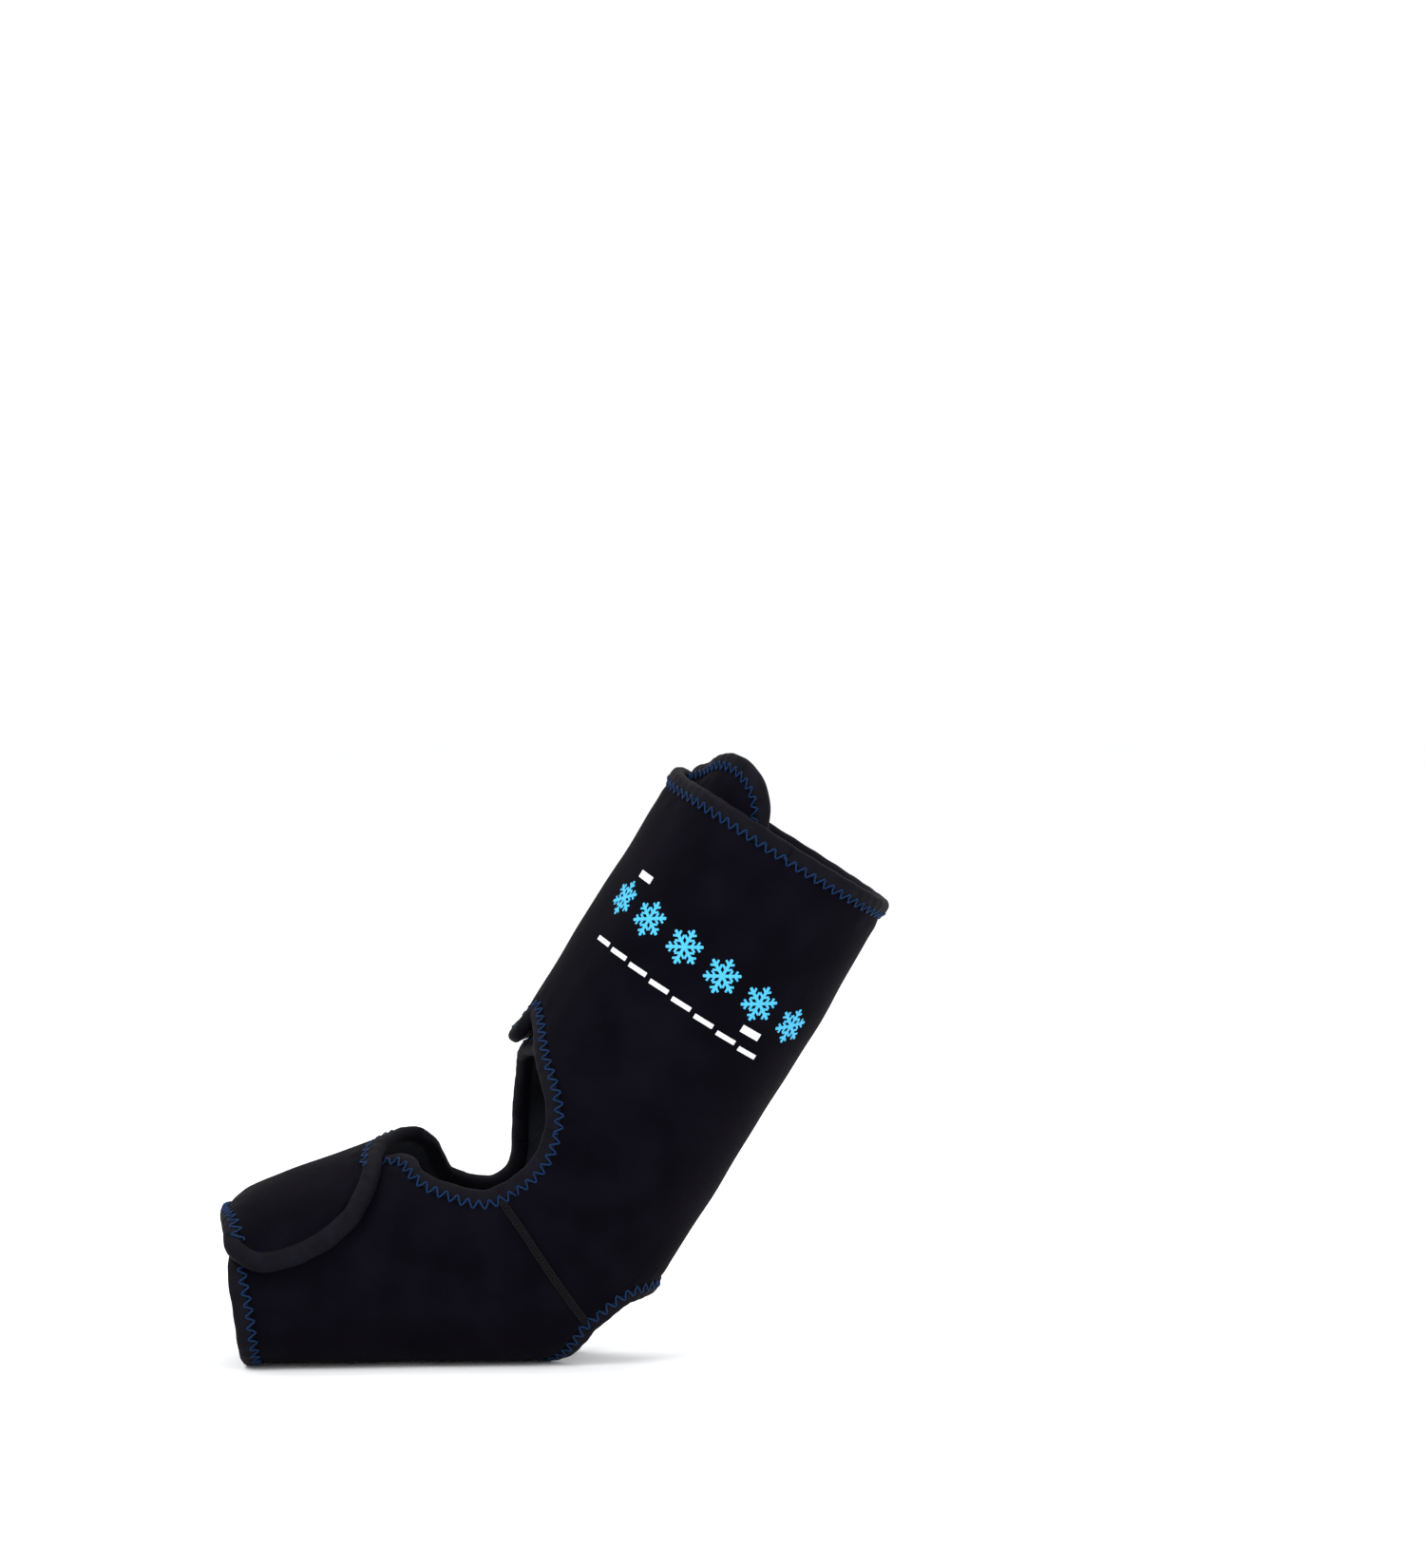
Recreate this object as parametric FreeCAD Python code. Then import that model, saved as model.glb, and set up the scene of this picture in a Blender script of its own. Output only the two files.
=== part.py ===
"""Cold compression wrap for an ankle and foot, in the bent shape it has when it is worn.

Frame: millimetres, toes towards -X, heel towards +X, outer (printed) side towards -Y, +Z up,
and the sole lies on z = 0.

Every piece of cloth follows one smooth "sleeve" surface.  A place on the sleeve has a station s,
counted along the foot, round the ankle and up the leg, and an angle t round the section:
0 is the top of the foot or the shin, 90 the outer side, 180 the sole or the back of the leg, and
-90 the inner side.  A piece is the space between two offsets of that surface, so layers that lie
on each other only differ in their offsets.
"""
import FreeCAD, Part
import math
import os

V = FreeCAD.Vector

# ---- driving dimensions -------------------------------------------------------------------
LEAN = math.radians(58.0)          # the leg's axis above the floor
PIVOT = (-52.0, 100.0)             # x, z of the point in front of the ankle that the sections turn about
ANKLE_TURN = 56.0                  # length of the bend, counted in stations
RIM_UP = 161.5                     # from the bend to the top rim, along the leg
NEOPRENE = 3.5                     # thickness of the cloth
TAPE = 6.0                         # width of the edge binding
TAPE_IN = -4.2                     # inner and outer offsets of the edge binding
TAPE_OUT = 0.6
STITCH_WIDE = 3.6                  # width of a row of zigzag stitches
GAP = 0.2                          # between pieces that are sewn edge to edge
EDGE_TRIM = 2.4                    # taken off each end of a binding and its stitches
SOLE_PRESS = 0.35                  # how deep the standing cloth is pressed flat under the sole
HINGE_GAP = 1.2                    # between pieces that fold on each other
SEAM_GAP = 0.7                     # between the foot and leg panels, under the seam tape
SEAM_WIDE = 2.6
LAP = 2.1                          # space that a hook and a loop strip fill between two layers
TAB_SINK = 5.7                     # how far the shin tab lies below the flap's surface
SHIN_LINE = -80.8                  # the shin's front line, across the leg's axis
FOLD_LOW = (2.0, 91.0)             # x, z on the outer side: the closure flap folds from here ...
FOLD_ACROSS = 52.0                 # ... to this far behind the shin at the rim
ROOT_LOW = (-13.0, 82.0)           # the shin tab folds from here, on the inner side
ROOT_ACROSS = 40.0
FLAP_END = -56.0                   # angle that the closure flap reaches on the inner side
STRAP_ROOT = -48.0                 # angle of the foot strap's seam on the inner side
BINDING_SKIP = 4                   # points of the inner opening that lie under the strap's binding
STRAP_HEEL = 11.0                  # station of the strap's heel end at that seam
FLAKE_R = 7.4                      # printed snowflakes: their reach, height up the leg and angles
FLAKE_UP = 163.0
FLAKE_FROM = 26.0
FLAKE_STEP = 23.0
DASH_UP = 144.0                    # printed dashes: height up the leg, angles, length and thickness
DASH_FROM = 24.6
DASH_STEP = 13.8
DASH_TURN = 10.8
DASH_HIGH = 1.9
FRONT_ACCENT = (27.0, 173.0)       # angle and height of the thicker dashes beside the snowflakes
REAR_ACCENT = (117.0, 150.5)
ACCENT_HIGH = 3.0
PRINT_SLOPE = 4.5                  # how much lower the print is at the back than at the side

# (station, distance from the pivot line) pairs, and half widths of the sleeve
FRONT_REACH = [(-76, 47), (-64, 38), (-51, 32.5), (-38, 28), (-25, 23.5), (-12, 19), (0, 15.5),
               (28, 16), (56, 20.3), (240, 20.3)]
HALF_WIDTH = [(-76, 43.5), (-38, 41), (0, 36.5), (32, 35), (60, 37.5), (95, 41.5), (135, 44),
              (240, 46)]
SOLE_REACH = 100.0
BACK_REACH = 115.0
RIM_TUCK = 2.5                     # how much the back leans in at the rim
ROUND = 2.12                       # squareness of the leg's section, and of the sole's
SOLE_SQUARE = 3.3

AXIS = (math.cos(LEAN), math.sin(LEAN))
ACROSS = (math.sin(LEAN), -math.cos(LEAN))
RIM = ANKLE_TURN + RIM_UP


# ---- the sleeve surface -------------------------------------------------------------------
def smooth_step(low, high, value):
    x = min(max((value - low) / (high - low), 0.0), 1.0)
    return x * x * (3.0 - 2.0 * x)


def through(pairs):
    """A monotone cubic through (x, y) pairs, level beyond its ends."""
    xs = [p[0] for p in pairs]
    ys = [p[1] for p in pairs]
    rise = [(ys[i + 1] - ys[i]) / (xs[i + 1] - xs[i]) for i in range(len(xs) - 1)]
    slope = [0.0]
    for left, right in zip(rise, rise[1:]):
        slope.append(0.0 if left * right <= 0 else 2.0 * left * right / (left + right))
    slope.append(0.0)

    def value(x):
        if x <= xs[0]:
            return ys[0]
        if x >= xs[-1]:
            return ys[-1]
        i = max(k for k in range(len(xs) - 1) if xs[k] <= x)
        width = xs[i + 1] - xs[i]
        f = (x - xs[i]) / width
        return (ys[i] * (1 + 2 * f) * (1 - f) ** 2 + ys[i + 1] * f * f * (3 - 2 * f)
                + slope[i] * width * f * (1 - f) ** 2 - slope[i + 1] * width * f * f * (1 - f))
    return value


front_reach = through(FRONT_REACH)
half_width = through(HALF_WIDTH)


def back_reach(s):
    """Distance from the pivot line to the sole, round the heel, and up the back of the leg."""
    if s <= 0:
        return SOLE_REACH
    if s >= ANKLE_TURN:
        return BACK_REACH - RIM_TUCK * smooth_step(RIM - 60, RIM, s)
    turn = LEAN * s / ANKLE_TURN
    sole = SOLE_REACH / math.cos(turn)
    back = BACK_REACH / math.sin(turn + math.pi / 2 - LEAN)
    return (sole ** -12 + back ** -12) ** (-1.0 / 12)


def base(s, t):
    """Point of the sleeve surface."""
    if s <= 0:
        start, down = (PIVOT[0] + s, PIVOT[1]), (0.0, -1.0)
    elif s < ANKLE_TURN:
        turn = LEAN * s / ANKLE_TURN
        start, down = PIVOT, (math.sin(turn), -math.cos(turn))
    else:
        up = s - ANKLE_TURN
        start, down = (PIVOT[0] + up * AXIS[0], PIVOT[1] + up * AXIS[1]), ACROSS
    front, back = front_reach(s), back_reach(s)
    middle, deep = (front + back) / 2, (back - front) / 2
    c, n = math.cos(math.radians(t)), math.sin(math.radians(t))
    square = ROUND + (SOLE_SQUARE - ROUND) * smooth_step(0, 1, (1 - c) / 2) * (
        1 - smooth_step(-5, ANKLE_TURN + 10, s))
    out = (abs(c / deep) ** square + abs(n / half_width(s)) ** square) ** (-1.0 / square)
    r = middle - out * c
    return V(start[0] + r * down[0], -out * n, start[1] + r * down[1])


def slopes(s, t):
    along = (base(s + 0.5, t) - base(s - 0.5, t))
    around = (base(s, t + 0.5) - base(s, t - 0.5))
    return along, around


def normal(s, t):
    along, around = slopes(s, t)
    return around.cross(along).normalize()


def skin(s, t, offset, floor=0.0):
    """Point at an offset from the sleeve surface, outwards positive, kept above the floor."""
    p = base(s, t) + normal(s, t) * offset
    return V(p.x, p.y, max(p.z, floor))


def place(x, z, offset=0.0, side=1):
    """Station and angle of the point that is seen at x, z from the side, at an offset."""
    aim_x, aim_z = x, z
    for _ in range(4):
        dx, dz = aim_x - PIVOT[0], aim_z - PIVOT[1]
        up = dx * AXIS[0] + dz * AXIS[1]
        if dx <= 0:
            s, r = dx, -dz
        elif up >= 0:
            s, r = ANKLE_TURN + up, dx * ACROSS[0] + dz * ACROSS[1]
        else:
            s, r = ANKLE_TURN * math.atan2(dx, -dz) / LEAN, math.hypot(dx, dz)
        low, high = 0.5, 179.5
        for _ in range(40):
            t = (low + high) / 2
            p = base(s, t)
            if s <= 0:
                reach = PIVOT[1] - p.z
            elif s < ANKLE_TURN:
                reach = math.hypot(p.x - PIVOT[0], p.z - PIVOT[1])
            else:
                reach = (p.x - PIVOT[0]) * ACROSS[0] + (p.z - PIVOT[1]) * ACROSS[1]
            if reach < r:
                low = t
            else:
                high = t
        seen = skin(s, t, offset, -99)
        aim_x += x - seen.x
        aim_z += z - seen.z
    return (s, side * t)


# ---- lines and patches on the sleeve ------------------------------------------------------
def line(points, count):
    """Evenly spaced places on a smooth line through a few places."""
    curve = Part.BSplineCurve()
    if len(points) == 2:
        ends = [V(p[0], p[1], 0) for p in points]
        return [tuple((ends[0] + (ends[1] - ends[0]) * (i / (count - 1)))[:2]) for i in range(count)]
    curve.interpolate([V(p[0], p[1], 0) for p in points])
    whole = curve.length()
    spots = [curve.value(curve.parameterAtDistance(whole * i / (count - 1))) for i in range(count)]
    return [(p.x, p.y) for p in spots]


def shift(places, width):
    """The same line moved sideways over the surface, to the right of its direction seen from outside."""
    steps = 3
    for _ in range(steps):
        spots = [base(*p) for p in places]
        moved = []
        for i, (s, t) in enumerate(places):
            ahead, behind = spots[min(i + 1, len(spots) - 1)], spots[max(i - 1, 0)]
            side = (ahead - behind).cross(normal(s, t)).normalize() * (width / steps)
            along, around = slopes(s, t)
            g11, g12, g22 = along.dot(along), along.dot(around), around.dot(around)
            a, b = side.dot(along), side.dot(around)
            det = g11 * g22 - g12 * g12
            moved.append((s + (a * g22 - b * g12) / det, t + (b * g11 - a * g12) / det))
        places = moved
    return places


def strip(places, near_edge, far_edge, rows=3):
    """Grid of a ribbon that runs beside a line, between two sideways distances."""
    return [shift(places, near_edge + (far_edge - near_edge) * k / (rows - 1)) for k in range(rows)]


def coons(bottom, top, left, right):
    """Grid inside four lines: bottom and top run the same way, and so do left and right."""
    n, m = len(bottom), len(left)
    rows = []
    for j in range(m):
        v = j / (m - 1)
        row = []
        for i in range(n):
            u = i / (n - 1)
            row.append(tuple(
                (1 - v) * bottom[i][k] + v * top[i][k] + (1 - u) * left[j][k] + u * right[j][k]
                - (1 - u) * (1 - v) * bottom[0][k] - u * (1 - v) * bottom[-1][k]
                - (1 - u) * v * top[0][k] - u * v * top[-1][k] for k in (0, 1)))
        rows.append(row)
    return rows


def fitted(points):
    surface = Part.BSplineSurface()
    surface.interpolate(points)
    return surface


def solid_between(outer, inner):
    """Closed solid between two grids of points."""
    skins = [fitted(outer), fitted(inner)]
    faces = [s.toShape() for s in skins]
    u0, u1, v0, v1 = skins[0].bounds()
    borders = [[s.uIso(u0), s.uIso(u1), s.vIso(v0), s.vIso(v1)] for s in skins]
    for above, below in zip(*borders):
        faces.append(Part.makeRuledSurface(above.toShape(), below.toShape(), 1))
    shell = Part.Compound(faces)
    shell.sewShape()
    solid = Part.Solid(shell.Shells[0] if shell.Shells else shell)
    if solid.Volume < 0:
        solid.reverse()
    return solid


def cloth(grid, outer, inner, floor=0.0):
    """Solid of a patch between two offsets, each a number or a function of the place."""
    high = outer if callable(outer) else lambda s, t: outer
    low = inner if callable(inner) else lambda s, t: inner
    return solid_between([[skin(s, t, high(s, t), floor) for s, t in row] for row in grid],
                         [[skin(s, t, low(s, t), floor) for s, t in row] for row in grid])


def tape(places, width=TAPE, raise_by=lambda s, t: 0.0):
    """Edge binding beside a line."""
    return cloth(strip(places, GAP, width), lambda s, t: raise_by(s, t) + TAPE_OUT,
                 lambda s, t: raise_by(s, t) + TAPE_IN, 0.05)


def stitches(places, raise_by=lambda s, t: 0.0, wide=STITCH_WIDE):
    """Row of stitches laid over the joint between a panel and its binding."""
    return cloth(strip(places, -wide / 2, wide / 2, 3), lambda s, t: raise_by(s, t) + TAPE_OUT + 0.35,
                 lambda s, t: raise_by(s, t) - 0.35, 0.2)


# ---- outlines: each is the line where a panel meets its binding ----------------------------
def leg(across, up):
    """x, z at a distance behind the shin's front line and a height along the leg's axis."""
    back = across + SHIN_LINE
    return up * AXIS[0] + back * ACROSS[0], up * AXIS[1] + back * ACROSS[1]


def station(up):
    """Station of a height along the leg's axis."""
    return ANKLE_TURN + up - PIVOT_UP


def inner_side(places):
    """The same places on the inner side of the leg or foot."""
    return [(s, -t) for s, t in places]


def past_sole(places):
    """Angles that run on past 180 instead of starting again at -180."""
    return [(s, t + 360 if t < 0 else t) for s, t in places]


def side_line(low, high, count, side=1):
    """A line that is straight in the side view, between two x, z points."""
    spots = []
    for i in range(count):
        f = i / (count - 1)
        spots.append(place(low[0] + (high[0] - low[0]) * f, low[1] + (high[1] - low[1]) * f, side=side))
    return spots


PIVOT_UP = PIVOT[0] * AXIS[0] + PIVOT[1] * AXIS[1]
PANEL_TOP = RIM - TAPE
UP_TOP = PANEL_TOP - ANKLE_TURN + PIVOT_UP

# instep opening, from the ankle seam towards the leg and towards the toes
seam_top = place(-20.0, 65.0)
heel_corner = place(12.6, 16.8)
ankle_seam = line([seam_top, place(-4.0, 41.5), heel_corner], 13)
seam_to_fold = line([seam_top, place(-10.2, 71.0), place(-3.2, 78.2), place(*FOLD_LOW)], 7)
seam_to_root = inner_side(line([seam_top, place(-14.5, 71.5), place(*ROOT_LOW)], 7))
fold = side_line(FOLD_LOW, leg(FOLD_ACROSS, UP_TOP), 15)
root = side_line(ROOT_LOW, leg(ROOT_ACROSS, UP_TOP), 15, side=-1)

# heel opening: below the seams it borders the foot panel, above them the leg panel
sole_half = [heel_corner, place(7.6, 10.2), place(2.2, 4.0), (25.3, 165.0), (24.0, 180.0)]
back_half = [heel_corner, place(21.5, 24.0), place(33.5, 29.6), (50.3, 165.0), (51.0, 180.0)]


def carried_round(half):
    """A line on the outer side, carried on round the sole or the back to the inner side."""
    return half + [(s, 360 - t) for s, t in reversed(half[:-1])]


heel_low = line(carried_round(sole_half), 19)
heel_high = line(carried_round(back_half), 19)
seam_past = past_sole(inner_side(ankle_seam))
heel_edge = heel_low[9::-1] + heel_high[1:] + heel_low[-2:8:-1]

# foot panel: toe edge, top edge on the outer side, and the line the strap is sewn to
toe_edge = line([(-60.0, 22.0), place(-118.0, 38.2), place(-116.0, 26.0), place(-114.6, 14.2),
                 (-61.5, 150.0), (-61.0, 180.0), (-61.5, 210.0), (-63.0, 260.0), (-65.0, 290.0),
                 (-66.0, 360 + STRAP_ROOT)], 41)
outer_top = line([toe_edge[0], (-40.0, 21.0), (-16.0, 22.0), place(-61.5, 78.0), place(-53.1, 72.4),
                  place(-41.5, 66.5), place(-29.5, 63.2), seam_top], 21)
strap_root = line([(-66.0, STRAP_ROOT), (-40.0, STRAP_ROOT), (STRAP_HEEL, STRAP_ROOT)], 9)
opening_inner = inner_side(line([(STRAP_HEEL, -STRAP_ROOT), place(-34.0, 63.5),
                                 place(-27.0, 62.6), seam_top], 13))

# closure flap: lower edge along the opening and over the shin, rounded end on the inner side
flap_low = line([(station(114.0), FLAP_END + 6), (station(108.0), FLAP_END + 24), (station(106.0), 0.0),
                 place(-8.0, 133.0), place(-2.6, 119.4), place(1.0, 108.0), place(2.6, 98.0),
                 place(*FOLD_LOW)], 27)
flap_end = line([flap_low[0], (station(124.0), FLAP_END), (station(195.0), FLAP_END),
                 (station(206.0), FLAP_END + 6)], 15)
flap_high = line([flap_end[-1], (PANEL_TOP, FLAP_END + 20), (PANEL_TOP, -5.0), (PANEL_TOP, 30.0),
                  fold[-1]], 27)
flap_edge = flap_high[::-1] + flap_end[-2::-1] + flap_low[1:]

# shin tab: sewn on the inner side, runs under the flap and stands above the rim at the front
tab_low = line([root[0], place(-13.0, 97.0, side=-1), (station(93.0), -24.0), (station(103.0), 8.0),
                (station(114.0), 38.0), (station(126.0), 55.0)], 27)
tab_end = line([tab_low[-1], (station(142.0), 63.0), (station(165.0), 70.0), (station(190.0), 74.0),
                (station(211.0), 73.0)], 15)
tab_high = line([root[-1], (station(215.0), -40.0), (station(222.0), 0.0), (station(229.5), 26.0),
                 (station(230.5), 45.0), (station(224.0), 63.0), tab_end[-1]], 27)
tab_edge = tab_low + tab_end[1:] + tab_high[-2::-1]

def on_strap(x, z):
    return place(x, z, LAP + NEOPRENE)


# foot strap: from the inner side over the instep to a rounded end on the outer side
strap_toe = line([(-66.0, STRAP_ROOT), (-70.0, -20.0), (-72.0, 12.0), on_strap(-123.2, 58.0),
                  on_strap(-119.5, 50.5)], 19)
strap_near = line([strap_toe[-1], on_strap(-113.5, 47.0), on_strap(-104.0, 47.2), on_strap(-94.5, 50.6),
                   on_strap(-85.5, 56.2), on_strap(-79.0, 62.4)], 13)
strap_heel = line([strap_near[-1], on_strap(-74.2, 72.0), (-17.0, 8.0), (-1.0, -22.0),
                   (STRAP_HEEL, STRAP_ROOT)], 19)
strap_edge = strap_toe + strap_near[1:] + strap_heel[1:]


def strap_lift(s, t):
    return (LAP + NEOPRENE) * smooth_step(STRAP_ROOT + 4, -8, t)


def flap_lift(s, t):
    return (LAP + NEOPRENE) * (1 - smooth_step(-18, 28, t))


def tab_lift(s, t):
    return -TAB_SINK * smooth_step(-22, 8, t)


# ---- panels -------------------------------------------------------------------------------
def panel(bottom, top, left, right, lift=lambda s, t: 0.0, floor=0.0):
    return cloth(coons(bottom, top, left, right), lift, lambda s, t: lift(s, t) - NEOPRENE, floor)


def leg_panel():
    """Back half of the leg sleeve, from the fold on the outer side round to the inner side."""
    low = ankle_seam + heel_high[1:-1] + seam_past[::-1]
    near = seam_to_fold[:-1] + shift(fold, HINGE_GAP / 2)
    far = past_sole(seam_to_root[:-1] + shift(root, -HINGE_GAP / 2))
    low = shift(low, -SEAM_GAP / 2)
    low[0], low[-1] = near[0], far[0]
    high = line([near[-1], (PANEL_TOP, 120.0), (PANEL_TOP, 180.0), (PANEL_TOP, 240.0), far[-1]], len(low))
    return panel(low, high, near, far)


def closure_flap():
    near = shift(fold, -HINGE_GAP / 2)
    low, high = flap_low[:], flap_high[:]
    low[-1], high[-1] = near[0], near[-1]
    return panel(low, high, flap_end, near, flap_lift)


def shin_tab():
    far = shift(root, HINGE_GAP / 2)
    low, high = tab_low[:], tab_high[:]
    low[0], high[0] = far[0], far[-1]
    return panel(low, high, far, tab_end, tab_lift)


def sole_press(s, t):
    """The cloth under the sole is made a little low, and is then cut flat at the floor."""
    return SOLE_PRESS * smooth_step(135, 160, t) * (1 - smooth_step(200, 225, t))


def foot_panel():
    """From the top of the foot on the outer side, under the sole, to the strap's seam."""
    high = ankle_seam + heel_low[1:-1] + seam_past[::-1]
    high = shift(high, SEAM_GAP / 2)
    low = line(toe_edge, len(high))
    far = past_sole(strap_root[:-1] + opening_inner)
    near = line(outer_top, len(far))
    high[0], high[-1] = near[-1], far[-1]
    low[0], low[-1] = near[0], far[0]
    far = shift(far[:8], -HINGE_GAP / 2) + far[8:]
    low[-1] = far[0]
    below = Part.makeBox(400, 200, 10, V(-200, -100, -10))
    return panel(low, high, near, far, sole_press, -1.0).cut(below)


def foot_strap():
    inner = shift(strap_root, HINGE_GAP / 2)
    toe, heel = strap_toe[::-1], strap_heel[:]
    toe[-1], heel[-1] = inner[0], inner[-1]
    return panel(strap_near, line(inner, len(strap_near)), toe, heel, strap_lift)


# ---- bindings and stitches ----------------------------------------------------------------
rim_edge = line([(PANEL_TOP, 360 + root[-1][1]), (PANEL_TOP, 240.0), (PANEL_TOP, 180.0),
                 (PANEL_TOP, 120.0), fold[-1]], 41)
outer_opening = seam_to_fold[-2::-1] + outer_top[-2::-1]
inner_opening = opening_inner[BINDING_SKIP:] + seam_to_root[1:-2]
EDGES = {
    "rim": (rim_edge, None),
    "closure_flap": (flap_edge, flap_lift),
    "shin_tab": (tab_edge, tab_lift),
    "outer_instep": (outer_opening, None),
    "inner_instep": (inner_opening, None),
    "heel_opening": (heel_edge, None),
    "toe_edge": (toe_edge[:-1], None),
    "foot_strap": (strap_edge, strap_lift),
}


def flat(s, t):
    return 0.0


def trimmed(places, trim):
    """The line without a short length at each end, so that neighbours stay apart."""
    curve = Part.BSplineCurve()
    curve.interpolate([base(*p) for p in places])
    whole = curve.length()
    keep = line(places, len(places))
    first, last = keep[0], keep[-1]
    share = trim / whole * (len(places) - 1)
    near = tuple(first[k] + (keep[1][k] - first[k]) * share for k in (0, 1))
    far = tuple(last[k] + (keep[-2][k] - last[k]) * share for k in (0, 1))
    return [near] + places[1:-1] + [far]


SHAPES = {
    "leg_panel": leg_panel,
    "closure_flap": closure_flap,
    "shin_tab": shin_tab,
    "foot_panel": foot_panel,
    "foot_strap": foot_strap,
}
for edge_name, (edge, lift) in EDGES.items():
    path = trimmed(edge, EDGE_TRIM)
    SHAPES[edge_name + "_binding"] = lambda path=path, lift=lift: tape(path, raise_by=lift or flat)
    SHAPES[edge_name + "_stitches"] = lambda path=path, lift=lift: stitches(path, lift or flat)


# ---- seams, hook and loop -----------------------------------------------------------------
def seam_tape(places):
    return cloth(strip(places[1:-1], -SEAM_WIDE / 2, SEAM_WIDE / 2), 0.5, -0.3)


def patch_on(s_range, t_range, outer, inner, rows=7, columns=9):
    """Patch between two stations and two angles."""
    grid = [[(s_range[0] + (s_range[1] - s_range[0]) * j / (rows - 1),
              t_range[0] + (t_range[1] - t_range[0]) * i / (columns - 1))
             for i in range(columns)] for j in range(rows)]
    return cloth(grid, outer, inner, 0.1)


SHAPES["outer_ankle_seam"] = lambda: seam_tape(ankle_seam)
SHAPES["inner_ankle_seam"] = lambda: seam_tape(inner_side(ankle_seam)[::-1])
CLOSURE_PATCH = ((station(128.0), station(192.0)), (FLAP_END + 1, -26.0))
SHAPES["closure_loop_patch"] = lambda: patch_on(*CLOSURE_PATCH, 0.9, 0.05)
SHAPES["closure_hook_patch"] = lambda: patch_on(*CLOSURE_PATCH, LAP - 0.06, LAP - 1.1)
STRAP_PATCH = ((-58.0, -38.0), (38.0, 62.0))
SHAPES["strap_loop_patch"] = lambda: patch_on((-60.0, -26.0), (30.0, 66.0), 0.9, 0.05)
SHAPES["strap_hook_patch"] = lambda: patch_on(*STRAP_PATCH, LAP - 0.06, LAP - 1.1)


# ---- cold packs in their pockets ----------------------------------------------------------
POCKET_LOW, POCKET_HIGH = 62.0, RIM - 32
POCKET_FROM, POCKET_TO = 96.0, 162.0
PACK_THICK = 7.0
PACK_CLEAR = 2.6                   # room on each face for the pack to slide
MESH = 0.7


def swell(x):
    """0 at both ends of 0..1 and 1 over the middle."""
    return smooth_step(0.0, 0.25, x) * (1 - smooth_step(0.75, 1.0, x))


def pocket_depth(s, t):
    across = (abs(t) - POCKET_FROM) / (POCKET_TO - POCKET_FROM)
    along = (s - POCKET_LOW) / (POCKET_HIGH - POCKET_LOW)
    deep = (PACK_THICK + 2 * PACK_CLEAR) * swell(across)
    return deep * smooth_step(0.0, 0.2, along)


def pocket(side):
    return patch_on((POCKET_LOW, POCKET_HIGH - 6), (side * POCKET_FROM, side * POCKET_TO),
                    lambda s, t: -NEOPRENE - 0.3 - pocket_depth(s, t),
                    lambda s, t: -NEOPRENE - 0.3 - MESH - pocket_depth(s, t), 15, 15)


def pocket_hem(side):
    return patch_on((POCKET_HIGH - 5.8, POCKET_HIGH), (side * POCKET_FROM, side * POCKET_TO),
                    lambda s, t: -NEOPRENE - 0.2 - pocket_depth(s, t),
                    lambda s, t: -NEOPRENE - 1.6 - pocket_depth(s, t), 3, 15)


def gel_pack(side):
    low, high = POCKET_LOW + 18, POCKET_HIGH - 10
    start, stop = POCKET_FROM + 11, POCKET_TO - 11

    def thickness(s, t):
        across = (abs(t) - start) / (stop - start)
        along = (s - low) / (high - low)
        return 1.0 + (PACK_THICK - 1.0) * swell(across) * smooth_step(0, 0.14, along) * (
            1 - smooth_step(0.86, 1, along))
    return patch_on((low, high), (side * start, side * stop), -NEOPRENE - PACK_CLEAR,
                    lambda s, t: -NEOPRENE - PACK_CLEAR - thickness(s, t), 15, 15)


for side_name, side in (("outer", 1), ("inner", -1)):
    SHAPES[f"{side_name}_pocket"] = lambda side=side: pocket(side)
    SHAPES[f"{side_name}_pocket_hem"] = lambda side=side: pocket_hem(side)
    SHAPES[f"{side_name}_gel_pack"] = lambda side=side: gel_pack(side)


# ---- print --------------------------------------------------------------------------------
def snowflake(s, t):
    """Six-armed star, pressed on the cloth."""
    centre = skin(s, t, -0.45)
    out = normal(s, t)
    up = (base(s + 1, t) - base(s - 1, t)).normalize()
    aside = out.cross(up)
    points = []
    for k in range(24):
        reach = FLAKE_R * (1.0 if k % 4 in (0, 1) else 0.42)
        angle = math.radians(15.0 * k + (3.0 if k % 2 == 0 else -3.0))
        points.append(centre + up * (reach * math.cos(angle)) + aside * (reach * math.sin(angle)))
    face = Part.Face(Part.makePolygon(points + points[:1]))
    return face.extrude(out * 0.75)


def print_station(up, t):
    """The print slopes down a little towards the back of the leg."""
    return station(up + PRINT_SLOPE * math.cos(math.radians(t)))


def snowflakes(angles):
    return Part.Compound([snowflake(print_station(FLAKE_UP, t), t) for t in angles])


def dashes(first, last, accent, lift):
    """Some of the row of dashes, and a thicker one, on the cloth that has a lift."""
    shapes = []
    bars = [(DASH_FROM + DASH_STEP * k, DASH_UP, DASH_HIGH) for k in range(first, last)]
    for t, up, high in bars + [(*accent, ACCENT_HIGH)]:
        low = print_station(up, t + DASH_TURN / 2)
        shapes.append(patch_on((low, low + high), (t, t + DASH_TURN),
                               lambda s, t: lift(s, t) + 0.3, lambda s, t: lift(s, t) + 0.12, 3, 5))
    return Part.Compound(shapes)


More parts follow.
